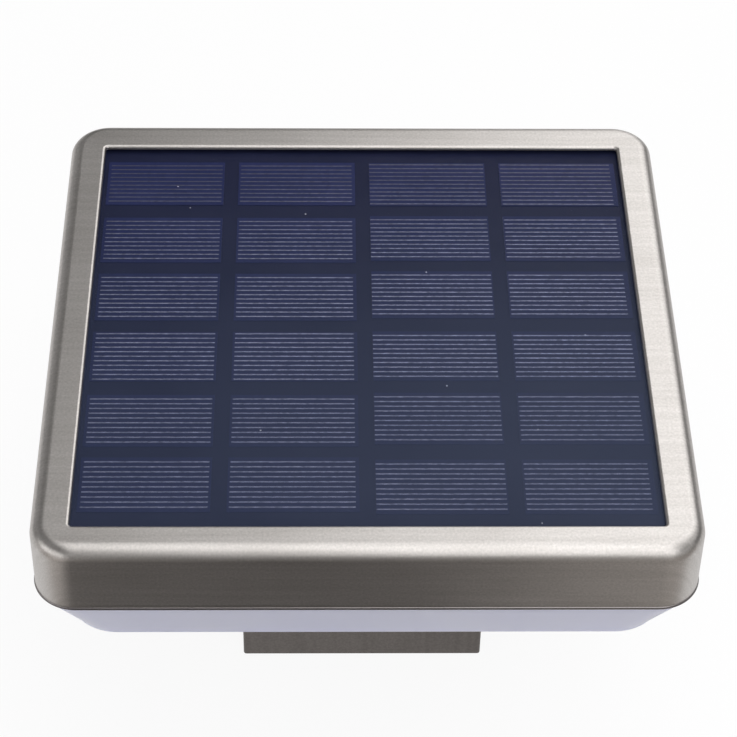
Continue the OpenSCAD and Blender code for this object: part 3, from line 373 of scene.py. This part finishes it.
def turned(name, profile, origin, steps=64):
    """Profile of (distance along the axis, radius) turned round an axis along X through
    the origin: y = radius x cos, z = radius x sin."""
    along, radius = np.asarray(profile, float).T
    a = np.arange(steps) * 2 * math.pi / steps
    x = np.broadcast_to(along[:, None], (len(along), steps))
    y, z = radius[:, None] * np.cos(a), radius[:, None] * np.sin(a)
    points = (np.stack([x, y, z], -1) + np.asarray(origin)).reshape(-1, 3)
    j = np.arange(steps)
    ring = np.arange(len(along) - 1)[:, None] * steps
    after = ring + steps
    j2 = (j + 1) % steps
    sides = np.stack([ring + j, ring + j2, after + j2, after + j], -1).reshape(-1, 4)
    last = (len(along) - 1) * steps
    faces = [list(q) for q in sides[:, ::-1]] + [list(j), list(last + j[::-1])]
    return object_from(name, points, faces)


# Nodes of a material

def add(tree, kind, settings=None, **sockets):
    """Adds a shader node. settings are its properties, and sockets its input values or
    links. An underscore stands for a space."""
    node = tree.nodes.new("ShaderNode" + kind)
    for key, value in (settings or {}).items():
        setattr(node, key, value)
    fill(tree, node, **sockets)
    return node


def put(tree, socket, value):
    """Gives a socket a plain value, a colour of three numbers, or a link to an output."""
    if isinstance(value, bpy.types.NodeSocket):
        tree.links.new(value, socket)
    elif socket.type == "RGBA" and len(value) == 3:
        socket.default_value = (*value, 1)
    else:
        socket.default_value = value


def fill(tree, node, **sockets):
    """Gives a node's named sockets their values or links."""
    for key, value in sockets.items():
        put(tree, node.inputs[key.replace("_", " ")], value)


def calc(tree, operation, *values, clamp=False):
    """Result of a Math node, kept between 0 and 1 where it is clamped."""
    node = add(tree, "Math", {"operation": operation, "use_clamp": clamp})
    for socket, value in zip(node.inputs, values):
        put(tree, socket, value)
    return node.outputs[0]


def mixed(tree, factor, a, b, blend="MIX"):
    """Colour a where the factor is 0 and b where it is 1, or the two blended another way."""
    node = add(tree, "Mix", {"data_type": "RGBA", "blend_type": blend})
    for place, value in ((0, factor), (6, a), (7, b)):
        put(tree, node.inputs[place], value)
    return node.outputs[2]


def times(tree, a, b):
    """Two colours multiplied."""
    return mixed(tree, 1.0, a, b, "MULTIPLY")


def ramp(tree, value, *colors, reach=NOISE):
    """Colour ramp through the given colours, evenly spaced over its reach."""
    node = add(tree, "ValToRGB", Fac=value)
    elements = node.color_ramp.elements
    while len(elements) < len(colors):
        elements.new(0.5)
    for element, place, color in zip(elements, np.linspace(*reach, len(colors)), colors):
        element.position = place
        element.color = (*color, 1)
    return node.outputs["Color"]


def spread(tree, value, low, high):
    """Maps a mask from 0 to 1 onto the range from low to high."""
    return add(tree, "MapRange", Value=value, To_Min=low, To_Max=high).outputs["Result"]


def group(name, sockets_in, sockets_out):
    """Empty node group with a Vector input, float inputs at their defaults and float
    outputs: its tree, what it is given and what it puts out."""
    tree = bpy.data.node_groups.new(name, "ShaderNodeTree")
    tree.interface.new_socket("Vector", in_out="INPUT", socket_type="NodeSocketVector")
    for key, value in sockets_in.items():
        socket = tree.interface.new_socket(key, in_out="INPUT", socket_type="NodeSocketFloat")
        socket.default_value = value
    for key in sockets_out:
        tree.interface.new_socket(key, in_out="OUTPUT", socket_type="NodeSocketFloat")
    given, result = tree.nodes.new("NodeGroupInput"), tree.nodes.new("NodeGroupOutput")
    return tree, given.outputs, result.inputs


def brush_lines():
    """Fine lines along the vector's first axis: noise that is stretched along it, with a
    slower noise that makes some bundles of lines stronger."""
    tree, given, result = group(
        "Brush lines", {"Lines": 9000.0, "Length": 60.0}, ["Mask", "Bundles"])
    split = add(tree, "SeparateXYZ", Vector=given["Vector"])

    def stretched(across_share, along_share):
        across = calc(tree, "MULTIPLY", given["Lines"], across_share)
        along = calc(tree, "MULTIPLY", given["Length"], along_share)
        parts = {
            axis: calc(tree, "MULTIPLY", split.outputs[axis], factor)
            for axis, factor in (("X", along), ("Y", across), ("Z", across))}
        return add(tree, "CombineXYZ", **parts).outputs["Vector"]

    fine = add(tree, "TexNoise", Vector=stretched(1, 1), Scale=1.0, Detail=3.0, Roughness=0.6)
    slow = stretched(BUNDLES_ACROSS, BUNDLES_ALONG)
    bundles = add(tree, "TexNoise", Vector=slow, Scale=1.0, Detail=2.0)
    tree.links.new(fine.outputs["Fac"], result["Mask"])
    tree.links.new(bundles.outputs["Fac"], result["Bundles"])
    return tree


def cloudy():
    """Soft uneven patches at a named size, as handling and rolling leave on a surface."""
    tree, given, result = group("Cloudy", {"Patches": 30.0}, ["Mask"])
    noise = add(
        tree, "TexNoise", Vector=given["Vector"], Scale=given["Patches"], Detail=4.0,
        Roughness=0.55)
    tree.links.new(noise.outputs["Fac"], result["Mask"])
    return tree


def moulded_grain():
    """Fine pebbled grain of a spark-eroded mould: the smooth cells of a Voronoi pattern."""
    tree, given, result = group("Moulded grain", {"Grain": 1800.0}, ["Height", "Mask"])
    cells = add(
        tree, "TexVoronoi", {"feature": "SMOOTH_F1"}, Vector=given["Vector"],
        Scale=given["Grain"])
    noise = add(tree, "TexNoise", Vector=given["Vector"], Scale=given["Grain"], Detail=2.0)
    tree.links.new(cells.outputs["Distance"], result["Height"])
    tree.links.new(noise.outputs["Fac"], result["Mask"])
    return tree


def dust():
    """Sparse specks: the middles of Voronoi cells, kept where a cell's own colour is high."""
    tree, given, result = group("Dust", {"Specks": 160.0, "Size": 0.05}, ["Mask"])
    cells = add(tree, "TexVoronoi", Vector=given["Vector"], Scale=given["Specks"])
    near = calc(tree, "LESS_THAN", cells.outputs["Distance"], given["Size"])
    chosen = calc(tree, "GREATER_THAN", cells.outputs["Color"], SPECK_ABOVE)
    tree.links.new(calc(tree, "MULTIPLY", near, chosen), result["Mask"])
    return tree


BRUSH_LINES = brush_lines()
CLOUDY = cloudy()
MOULDED_GRAIN = moulded_grain()
DUST = dust()


def place_group(tree, shared, **sockets):
    """Places a shared node group in a material with its own values."""
    return add(tree, "Group", {"node_tree": shared}, **sockets).outputs


def toward(tree, axis, start, end, rise="LINEAR"):
    """Mask that rises from 0 at one place along an axis of the object to 1 at another."""
    place = add(tree, "TexCoord").outputs["Object"]
    along = add(tree, "SeparateXYZ", Vector=place).outputs[axis]
    return add(
        tree, "MapRange", {"interpolation_type": rise}, Value=along, From_Min=start,
        From_Max=end).outputs["Result"]


class Finish:
    """A material in the making: its tree, its shader and its object coordinates."""

    def __init__(self, name, roughness=0.5, metallic=0.0, **plain):
        self.material = bpy.data.materials.new(name)
        self.material.use_nodes = True
        self.tree = self.material.node_tree
        self.shader = self.tree.nodes["Principled BSDF"]
        self.set(Roughness=roughness, Metallic=metallic, **plain)
        self.place = add(self.tree, "TexCoord").outputs["Object"]

    def set(self, **sockets):
        """Gives the shader's sockets plain values or links."""
        fill(self.tree, self.shader, **sockets)

    def color(self, mask, *colors):
        """Base colour from a mask through a ramp with evenly spaced colours."""
        self.set(Base_Color=ramp(self.tree, mask, *colors))

    def rough(self, mask, low, high):
        """Roughness that follows a mask."""
        self.set(Roughness=spread(self.tree, mask, low, high))

    def bump(self, height, depth, strength=1.0):
        """Bump of the given depth in metres."""
        node = add(self.tree, "Bump", Height=height, Distance=depth, Strength=strength)
        self.set(Normal=node.outputs["Normal"])


def brushed(
        name, dark, light, low, high, anisotropy, turn, vector=None, lines=9000.0, length=60.0):
    """Steel brushed in one direction. Its lines lie along the vector's first axis, its
    roughness and colour follow them, and its gloss is drawn out across them."""
    finish = Finish(name, metallic=1.0, Anisotropic=anisotropy, Anisotropic_Rotation=turn)
    place = vector(finish.tree) if vector else finish.place
    lines = place_group(finish.tree, BRUSH_LINES, Vector=place, Lines=lines, Length=length)
    patches = place_group(finish.tree, CLOUDY, Vector=place, Patches=22.0)
    half = calc(finish.tree, "MULTIPLY", patches["Mask"], 0.5)
    tone = calc(finish.tree, "MULTIPLY_ADD", lines["Bundles"], 0.5, half)
    base = ramp(finish.tree, tone, dark, light)
    grain = place_group(finish.tree, CLOUDY, Vector=place, Patches=1300.0)
    speckled = ramp(finish.tree, grain["Mask"], (0.78, 0.78, 0.78), WHITE)
    finish.base = times(finish.tree, base, speckled)
    finish.set(Base_Color=finish.base)
    finish.rough(lines["Mask"], low, high)
    finish.bump(lines["Mask"], BRUSH_DEPTH, 0.5)
    return finish


def sheet_place(tree):
    """Place on the cover's sheet laid flat, from its UV map."""
    return add(tree, "UVMap", {"uv_map": "sheet"}).outputs["UV"]


def upright_place(tree):
    """Object coordinates turned so that the first axis runs up the stem."""
    place = add(tree, "TexCoord").outputs["Object"]
    turned_place = add(tree, "Mapping", Vector=place, Rotation=(0, math.pi / 2, 0))
    return turned_place.outputs["Vector"]


def cover_steel():
    """Brushed stainless sheet, with painted shade in the roll of its hem."""
    finish = brushed(
        "brushed_stainless", (0.46, 0.435, 0.415), (0.58, 0.555, 0.535), 0.34, 0.46, 0.5, 0.25,
        sheet_place)
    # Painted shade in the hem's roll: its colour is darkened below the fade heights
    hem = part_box("top_cover")[0].z
    above = toward(finish.tree, "Z", hem + HEM_SHADE_LOW, hem + HEM_SHADE_HIGH)
    shade = ramp(finish.tree, above, (0.3, 0.285, 0.3), WHITE, reach=WHOLE)
    finish.set(Base_Color=times(finish.tree, finish.base, shade))
    tangent = add(finish.tree, "Tangent", {"direction_type": "UV_MAP", "uv_map": "sheet"})
    finish.set(Tangent=tangent.outputs["Tangent"])
    return finish.material


def stem_steel():
    """Stainless steel brushed up the stem, darker than the cover's steel: painted shade."""
    # Painted shade: its colours are the cover's stainless darkened
    return brushed(
        "stem_steel", (0.115, 0.103, 0.096), (0.15, 0.135, 0.127), 0.34, 0.48, 0.4, 0.0,
        upright_place, 7000.0, 40.0).material


def plain_steel():
    """Plated sheet steel with soft uneven patches."""
    finish = Finish("plain_steel", metallic=1.0)
    patches = place_group(finish.tree, CLOUDY, Vector=finish.place, Patches=120.0)
    finish.color(patches["Mask"], (0.36, 0.36, 0.35), (0.52, 0.52, 0.52), (0.6, 0.6, 0.58))
    finish.rough(patches["Mask"], 0.3, 0.5)
    finish.bump(patches["Mask"], STEEL_DEPTH, 0.3)
    return finish.material


def bright_metal(name, dark, light, low=0.16, high=0.32):
    """Plated or polished small metal parts, with faint handling marks."""
    finish = Finish(name, metallic=1.0)
    patches = place_group(finish.tree, CLOUDY, Vector=finish.place, Patches=260.0)
    finish.color(patches["Mask"], dark, light)
    finish.rough(patches["Mask"], low, high)
    finish.bump(patches["Mask"], PLATED_DEPTH, 0.3)
    return finish.material


def moulded(name, dark, light, low=0.42, high=0.6, grain=1800.0, depth=0.02, specular=0.5):
    """Moulded plastic with a fine grain and a slightly uneven colour."""
    finish = Finish(name, Specular_IOR_Level=specular)
    grains = place_group(finish.tree, MOULDED_GRAIN, Vector=finish.place, Grain=grain)
    patches = place_group(finish.tree, CLOUDY, Vector=finish.place, Patches=45.0)
    finish.color(patches["Mask"], dark, light)
    finish.rough(grains["Mask"], low, high)
    finish.bump(grains["Height"], depth * MM, 0.4)
    return finish.material


def opal():
    """Opal plastic: milky right through, with a satin skin and a bluish cast."""
    finish = Finish(
        "opal_plastic", Specular_IOR_Level=0.35, Subsurface_Weight=0.35, Subsurface_Scale=0.012,
        Subsurface_Radius=(1.0, 1.0, 1.2))
    patches = place_group(finish.tree, CLOUDY, Vector=finish.place, Patches=14.0)
    grains = place_group(finish.tree, MOULDED_GRAIN, Vector=finish.place, Grain=2600.0)
    finish.color(patches["Mask"], (0.69, 0.71, 0.985), (0.75, 0.77, 0.995))
    finish.rough(grains["Mask"], 0.34, 0.46)
    finish.bump(grains["Height"], OPAL_DEPTH, 0.3)
    return finish.material


def cell_silicon():
    """Coated silicon: deep blue with slow shifts towards violet and fine crystal mottle."""
    finish = Finish("solar_cell", Specular_IOR_Level=0.06)
    patches = place_group(finish.tree, CLOUDY, Vector=finish.place, Patches=26.0)
    mottle = place_group(finish.tree, CLOUDY, Vector=finish.place, Patches=420.0)
    base = ramp(
        finish.tree, patches["Mask"], (0.017, 0.022, 0.073), (0.021, 0.0265, 0.086),
        reach=MIDDLE)
    shade = ramp(finish.tree, mottle["Mask"], (0.86, 0.86, 0.88), WHITE)
    finish.set(Base_Color=times(finish.tree, base, shade))
    finish.rough(mottle["Mask"], 0.3, 0.42)
    return finish.material


def cell_lines():
    """Printed silver paste, uneven along the line, with painted shade on the rear rows and on the
    left.
    """
    finish = Finish("contact_lines")
    stretch = add(finish.tree, "Mapping", Vector=finish.place, Scale=(1, 4, 1))
    uneven = place_group(finish.tree, CLOUDY, Vector=stretch.outputs["Vector"], Patches=640.0)
    paste = ramp(
        finish.tree, uneven["Mask"], (0.2, 0.21, 0.32), (0.68, 0.71, 1.0), reach=MIDDLE)
    # Painted shade, darker on the rear rows and on the left
    near = toward(finish.tree, "Y", LINES_SHADED_Y, LINES_BRIGHT_Y)
    rear_painted_shade = ramp(finish.tree, near, (0.12, 0.12, 0.145), WHITE, reach=WHOLE)
    side = toward(finish.tree, "X", PANEL_LEFT_X, PANEL_RIGHT_X)
    left_painted_shade = ramp(finish.tree, side, (0.55, 0.55, 0.55), WHITE, reach=WHOLE)
    finish.set(Base_Color=times(finish.tree, times(finish.tree, paste, rear_painted_shade), left_painted_shade))
    finish.rough(uneven["Mask"], 0.4, 0.6)
    return finish.material


def panel_back():
    """Nearly black board behind the cells."""
    finish = Finish("panel_back", Specular_IOR_Level=0.06)
    patches = place_group(finish.tree, CLOUDY, Vector=finish.place, Patches=35.0)
    finish.color(patches["Mask"], (0.0105, 0.013, 0.035), (0.0135, 0.016, 0.041))
    finish.rough(patches["Mask"], 0.35, 0.5)
    return finish.material


def clear_resin():
    """Clear cast resin: it shows the cells, holds a few specks and has a thin bluish layer of
    painted sheen that grows towards the front and the right."""
    finish = Finish("panel_resin", Specular_IOR_Level=0.05)
    patches = place_group(finish.tree, CLOUDY, Vector=finish.place, Patches=18.0)
    specks = place_group(finish.tree, DUST, Vector=finish.place, Specks=70.0, Size=0.02)
    painted_sheen_color = ramp(
        finish.tree, patches["Mask"], (0.051, 0.065, 0.113), (0.059, 0.074, 0.126),
        reach=MIDDLE)
    finish.set(Base_Color=mixed(finish.tree, specks["Mask"], painted_sheen_color, (0.75, 0.75, 0.8)))
    finish.rough(patches["Mask"], 0.28, 0.34)
    # Painted sheen: alpha of the bluish colour, none at the rear and growing to the front and
    # right
    near = toward(finish.tree, "Y", PAINTED_SHEEN_NONE_Y, PAINTED_SHEEN_FULL_Y)
    side = toward(finish.tree, "X", PANEL_LEFT_X, PANEL_RIGHT_X)
    painted_sheen = calc(finish.tree, "MULTIPLY", near, spread(finish.tree, side, PAINTED_SHEEN_LEFT, PAINTED_SHEEN_RIGHT))
    speck = spread(finish.tree, specks["Mask"], 0.0, SPECK_ALPHA)
    finish.set(Alpha=calc(finish.tree, "MAXIMUM", painted_sheen, speck))
    return finish.material


def circuit(name, mask_color, trace_color, copper):
    """Circuit board: solder mask with raised traces along X and Y and plated pads."""
    finish = Finish(name, Coat_Weight=0.2, Coat_Roughness=0.2)
    bricks = add(
        finish.tree, "TexBrick", {"offset": 0.5}, Vector=finish.place, Scale=160.0,
        Mortar_Size=0.03, Brick_Width=1.7, Row_Height=0.35)
    pads = place_group(finish.tree, DUST, Vector=finish.place, Specks=230.0, Size=0.22)
    traces = mixed(finish.tree, bricks.outputs["Fac"], mask_color, trace_color)
    finish.set(
        Base_Color=mixed(finish.tree, pads["Mask"], traces, copper), Metallic=pads["Mask"])
    finish.rough(bricks.outputs["Fac"], 0.35, 0.5)
    finish.bump(bricks.outputs["Fac"], TRACE_DEPTH, 0.5)
    return finish.material


def phosphor():
    """Lamp body: pale frame with the yellow phosphor round its middle."""
    finish = Finish("lamp_yellow", roughness=0.3, Coat_Weight=0.3)
    patches = place_group(finish.tree, CLOUDY, Vector=finish.place, Patches=700.0)
    finish.color(patches["Mask"], (0.82, 0.66, 0.12), (0.93, 0.84, 0.35))
    finish.bump(patches["Mask"], PHOSPHOR_DEPTH, 0.4)
    return finish.material


def sleeved(name, dark, light):
    """Heat-shrink sleeve: glossy, with fine creases round the piece."""
    finish = Finish(name, Coat_Weight=0.25, Coat_Roughness=0.15)
    stretch = add(finish.tree, "Mapping", Vector=finish.place, Scale=(6, 1, 1))
    creases = place_group(finish.tree, CLOUDY, Vector=stretch.outputs["Vector"], Patches=90.0)
    finish.color(creases["Mask"], dark, light)
    finish.rough(creases["Mask"], 0.2, 0.36)
    finish.bump(creases["Mask"], CREASE_DEPTH, 0.4)
    return finish.material


def moulded_set():
    """Moulded plastics, rubber, foam and lead insulation: dark and light colour, lowest and
    highest roughness, size and depth of the grain, and specular level."""
    return {name: moulded(name, *look) for name, look in {
        "white_plastic": ((0.8, 0.8, 0.78), (0.88, 0.88, 0.86), 0.25, 0.35, 2600.0, 0.005),
        "black_plastic": ((0.018, 0.018, 0.019), (0.034, 0.034, 0.036), 0.45, 0.62),
        "grey_plastic": ((0.045, 0.045, 0.048), (0.075, 0.075, 0.08)),
        "ivory_plastic": ((0.68, 0.63, 0.5), (0.78, 0.73, 0.6), 0.35, 0.5),
        "foam": ((0.05, 0.05, 0.054), (0.09, 0.09, 0.095), 0.75, 0.9, 900.0, 0.15, 0.3),
        "black_rubber": (
            (0.012, 0.012, 0.012), (0.03, 0.03, 0.03), 0.6, 0.8, 1100.0, 0.03, 0.35),
        "chip_black": ((0.015, 0.015, 0.015), (0.03, 0.03, 0.03), 0.5, 0.65, 3000.0, 0.01),
        "ferrite": ((0.03, 0.028, 0.026), (0.08, 0.072, 0.066), 0.5, 0.75, 1500.0, 0.04),
        "wire_red": ((0.4, 0.015, 0.01), (0.55, 0.03, 0.02), 0.3, 0.42, 1500.0, 0.01),
        "wire_black": (
            (0.012, 0.012, 0.012), (0.025, 0.025, 0.025), 0.3, 0.42, 1500.0, 0.01),
    }.items()}


def metal_set():
    """Small metal parts: dark and light colour, and lowest and highest roughness."""
    return {name: bright_metal(name, *look) for name, look in {
        "screw_steel": ((0.5, 0.5, 0.5), (0.7, 0.7, 0.69)),
        "contact_metal": ((0.55, 0.54, 0.5), (0.74, 0.73, 0.7)),
        "terminal_brass": ((0.6, 0.42, 0.18), (0.78, 0.6, 0.32), 0.22, 0.4),
        "switch_metal": ((0.42, 0.42, 0.42), (0.58, 0.58, 0.58), 0.24, 0.38),
    }.items()}


FINISHES = {
    "brushed_stainless": cover_steel(),
    "stem_steel": stem_steel(),
    "plain_steel": plain_steel(),
    "panel_resin": clear_resin(),
    "solar_cell": cell_silicon(),
    "panel_back": panel_back(),
    "opal_plastic": opal(),
    "lamp_yellow": phosphor(),
    "circuit_green": circuit(
        "circuit_green", (0.012, 0.13, 0.055), (0.02, 0.2, 0.08), (0.75, 0.7, 0.55)),
    "circuit_white": circuit(
        "circuit_white", (0.78, 0.78, 0.77), (0.86, 0.86, 0.85), (0.8, 0.78, 0.7)),
    "capacitor_sleeve": sleeved("capacitor_sleeve", (0.02, 0.035, 0.13), (0.04, 0.06, 0.2)),
    "battery_sleeve": sleeved("battery_sleeve", (0.02, 0.2, 0.11), (0.04, 0.28, 0.16)),
    **moulded_set(),
    **metal_set(),
}


def finish_nodes():
    """Gives every node of the part the finish of its material slot."""
    for entry in frame["record"]["subparts"]:
        mesh = frame["nodes"][entry["node"]].data
        mesh.materials.clear()
        mesh.materials.append(FINISHES[entry["material_slot"]])


def piece(obj, body, slot, *nodes, material=None):
    """Names a new piece's body, its slot and the nodes that it stands for."""
    obj.data.materials.clear()
    obj.data.materials.append(material or FINISHES[slot])
    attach(obj, body)
    if nodes:
        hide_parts(*nodes)
    return obj


def battery_cell():
    """Rechargeable cell: a sleeve shrunk over both rims, the groove below the plus end,
    the can's shoulder and the raised plus pole, turned round the cell's axis."""
    low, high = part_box("battery_cell")
    radius = (high.z - low.z) / 2
    length = high.x - low.x
    can = length - POLE_H
    rear = arc(SLEEVE_EDGE_R, radius - SLEEVE_EDGE_R, SLEEVE_EDGE_R, 180, 90, 6)
    groove = arc(can - GROOVE_BACK, radius + GROOVE_OUT, GROOVE_R, -164, -16, 10)
    front = arc(can - SLEEVE_EDGE_R, radius - SLEEVE_EDGE_R, SLEEVE_EDGE_R, 90, 0, 6)
    minus_end = [[END_SUNK, AXIS_HOLE_R], [END_SUNK, radius * 0.72], [0, radius * 0.74]]
    shoulder = [
        [can, radius * 0.78], [can - SHOULDER_SUNK, radius * 0.76],
        [can - SHOULDER_SUNK, 3.4 * MM], [can, 3.1 * MM]]
    pole_foot = [[can, 2.75 * MM], [can + 0.3 * MM, 2.7 * MM]]
    pole_edge = arc(length - POLE_EDGE_R, POLE_FLAT_R, POLE_EDGE_R, 90, 0, 4)
    profile = np.concatenate([
        minus_end, rear, groove, front, shoulder, pole_foot, pole_edge, [[length, AXIS_HOLE_R]]])
    centre = (low.x, (low.y + high.y) / 2, (low.z + high.z) / 2)
    return turned("battery_turned", profile, centre)


def make_pieces():
    """The new pieces, and the eased copies of solids that show their edges."""
    piece(folded_cover(), "head", "brushed_stainless", "top_cover")
    piece(diffuser_pan(), "head", "opal_plastic", "diffuser")
    piece(resin_layer(), "head", "panel_resin", "panel_resin")
    piece(contact_lines(), "head", "contact_metal", material=cell_lines())
    piece(battery_cell(), "head", "battery_sleeve", "battery_cell")
    for node, name, body, slot, width in (
            ("base_plate", "base_moulding", "head", "black_plastic", 0.3),
            ("battery_door", "door_moulding", "door", "black_plastic", 0.25),
            ("battery_box", "box_moulding", "head", "black_plastic", 0.2),
            ("stem_tube", "stem_profile", "stem", "stem_steel", 0.2),
            ("foot_plate", "foot_flat", "stem", "plain_steel", 0.3),
            ("foot_pad", "foot_rubber", "stem", "black_rubber", 0.3),
            ("stem_adapter", "neck_weldment", "head", "plain_steel", 0.25),
            ("inner_tray", "tray_moulding", "head", "grey_plastic", 0.2),
            ("reflector", "reflector_moulding", "head", "white_plastic", 0.15),
            ("switch_body", "switch_turning", "head", "switch_metal", 0.25),
            ("power_button", "button_moulding", "button", "black_rubber", 0.3),
            ("door_lock", "lock_turning", "lock", "switch_metal", 0.15)):
        piece(eased(node, name, width * MM), body, slot, node)


# Studio

FLOOR_HALF = 6.0
FLOOR_GAP = 0.05 * MM
FLOOR_WHITE = 0.92
FLOOR_PALE = (0.88, 0.88, 0.88)
FLOOR_PALE_Y = -0.1
FLOOR_GREY_Y = -0.15

# Painted shadow on the floor in front, which the cover's skirt reflects: its left end, its
# middle and its right end
FLOOR_LEFT = (0.62, 0.58, 0.55)
FLOOR_LEFT_X = -0.152
FLOOR_EDGE_X = -0.14
FLOOR_DARK = (0.05, 0.042, 0.039)
FLOOR_DARK_X = 0.02
FLOOR_LIGHT = (0.4, 0.37, 0.345)
FLOOR_LIGHT_X = 0.13

# Surroundings: their brightness in front and at the rear, and the directions' Y part there
ROOM_TINT = (1.0, 0.985, 0.97)
ROOM_FRONT = 0.05
ROOM_REAR = 0.08
ROOM_FRONT_AT = -0.9
ROOM_REAR_AT = 0.6

LIGHT_TARGET = Vector((0, 0, 0.1))
# Azimuth and elevation in degrees, distance and size in metres, and radiance
LIGHTS = {
    "rear_right_light": (29.5, 42, 1.5, (1.1, 1.3), 2.2),
    "right_light": (86, 42, 1.4, (0.8, 0.9), 1.1),
    "left_light": (-86, 42, 1.4, (0.8, 0.9), 0.25),
    "rear_left_light": (-44, 18, 1.5, (1.2, 0.7), 0.35),
    "top_light": (0, 86, 1.3, (1.0, 0.9), 1.75),
    "front_top_light": (160, 48, 1.3, (0.9, 1.7), 2.25),
    "front_left_light": (-128, 13, 1.4, (1.7, 0.6), 2.1),
    "front_right_light": (134, 13, 1.4, (1.7, 0.6), 0.65),
}


def shaders(tree, share, first, second):
    """The first shader where the share is 0 and the second where it is 1."""
    node = add(tree, "MixShader", Fac=share)
    tree.links.new(first, node.inputs[1])
    tree.links.new(second, node.inputs[2])
    return node.outputs[0]


def floor():
    """Wide pale floor just under the foot, clear when it is seen from below. In front of the
    lamp, outside the picture, it carries a painted shadow, lighter at its two ends."""
    half, z = FLOOR_HALF, -FLOOR_GAP
    points = [(-half, -half, z), (half, -half, z), (half, half, z), (-half, half, z)]
    obj = object_from("studio_floor", points, [(0, 1, 2, 3)])
    material = bpy.data.materials.new("floor_paper")
    material.use_nodes = True
    tree = material.node_tree
    tree.nodes.remove(tree.nodes["Principled BSDF"])
    # Painted shadow in front of the lamp: dark in the middle, lighter at its left and right ends
    side = toward(tree, "X", FLOOR_DARK_X, FLOOR_LIGHT_X)
    front = ramp(tree, side, FLOOR_DARK, FLOOR_LIGHT, reach=WHOLE)
    left = toward(tree, "X", FLOOR_EDGE_X, FLOOR_LEFT_X)
    front = mixed(tree, left, front, FLOOR_LEFT)
    rear = toward(tree, "Y", FLOOR_GREY_Y, FLOOR_PALE_Y, "SMOOTHSTEP")
    paper_and_painted_shadow = add(tree, "BsdfDiffuse", Color=mixed(tree, rear, front, FLOOR_PALE))
    white = add(tree, "Emission", Color=WHITE, Strength=1.0)
    rays = add(tree, "LightPath").outputs
    seen = calc(tree, "ADD", rays["Is Camera Ray"], rays["Is Glossy Ray"])
    seen = calc(tree, "ADD", seen, rays["Is Transmission Ray"])
    share = calc(tree, "MULTIPLY", seen, spread(tree, rear, 0.0, FLOOR_WHITE), clamp=True)
    lit = shaders(tree, share, paper_and_painted_shadow.outputs[0], white.outputs[0])
    below = add(tree, "NewGeometry").outputs["Backfacing"]
    clear = add(tree, "BsdfTransparent").outputs[0]
    surface = tree.nodes["Material Output"].inputs["Surface"]
    tree.links.new(shaders(tree, below, lit, clear), surface)
    obj.data.materials.append(material)


def softbox(name, azimuth, elevation, distance, size, radiance):
    """Rectangular light that faces its target. Azimuth 0 is behind the object, 90 to its
    right. Its power, pi x area x radiance, gives every point of it that radiance."""
    a, e = math.radians(azimuth), math.radians(elevation)
    direction = Vector((math.sin(a) * math.cos(e), math.cos(a) * math.cos(e), math.sin(e)))
    light = bpy.data.lights.new(name, "AREA")
    light.shape = "RECTANGLE"
    light.size, light.size_y = size
    light.energy = math.pi * size[0] * size[1] * radiance
    obj = bpy.data.objects.new(name, light)
    obj.location = LIGHT_TARGET + direction * distance
    obj.rotation_euler = direction.to_track_quat("Z", "Y").to_euler()
    obj.visible_camera = False
    bpy.context.scene.collection.objects.link(obj)


def room():
    """Even grey surroundings that grow darker towards the front."""
    world = bpy.data.worlds.new("room")
    world.use_nodes = True
    tree = world.node_tree
    direction = add(tree, "TexCoord").outputs["Generated"]
    along = add(tree, "SeparateXYZ", Vector=direction).outputs["Y"]
    level = add(
        tree, "MapRange", Value=along, From_Min=ROOM_FRONT_AT, From_Max=ROOM_REAR_AT,
        To_Min=ROOM_FRONT, To_Max=ROOM_REAR).outputs["Result"]
    fill(tree, tree.nodes["Background"], Color=ROOM_TINT, Strength=level)
    bpy.context.scene.world = world


def photo_camera():
    """Camera at the photograph's place, with its pitch, yaw and roll."""
    level = math.cos(PITCH_DOWN)
    forward = Vector((math.sin(YAW) * level, math.cos(YAW) * level, -math.sin(PITCH_DOWN)))
    right = Vector((math.cos(YAW), -math.sin(YAW), 0))
    up = right.cross(forward)
    across = right * math.cos(ROLL) + up * math.sin(ROLL)
    upward = up * math.cos(ROLL) - right * math.sin(ROLL)
    data = bpy.data.cameras.new("photo_camera")
    data.sensor_width = SENSOR_MM
    data.lens = FOCAL_PX / PHOTO_PX * SENSOR_MM
    data.clip_start = CLIP_START
    camera = bpy.data.objects.new("photo_camera", data)
    turn = Matrix((across, upward, -forward)).transposed()
    camera.matrix_world = Matrix.Translation(EYE) @ turn.to_4x4()
    bpy.context.scene.collection.objects.link(camera)
    bpy.context.scene.camera = camera


photo_camera()
finish_nodes()
make_pieces()
floor()
room()
for light_name, light_values in LIGHTS.items():
    softbox(light_name, *light_values)
bpy.context.scene.view_settings.view_transform = "Standard"
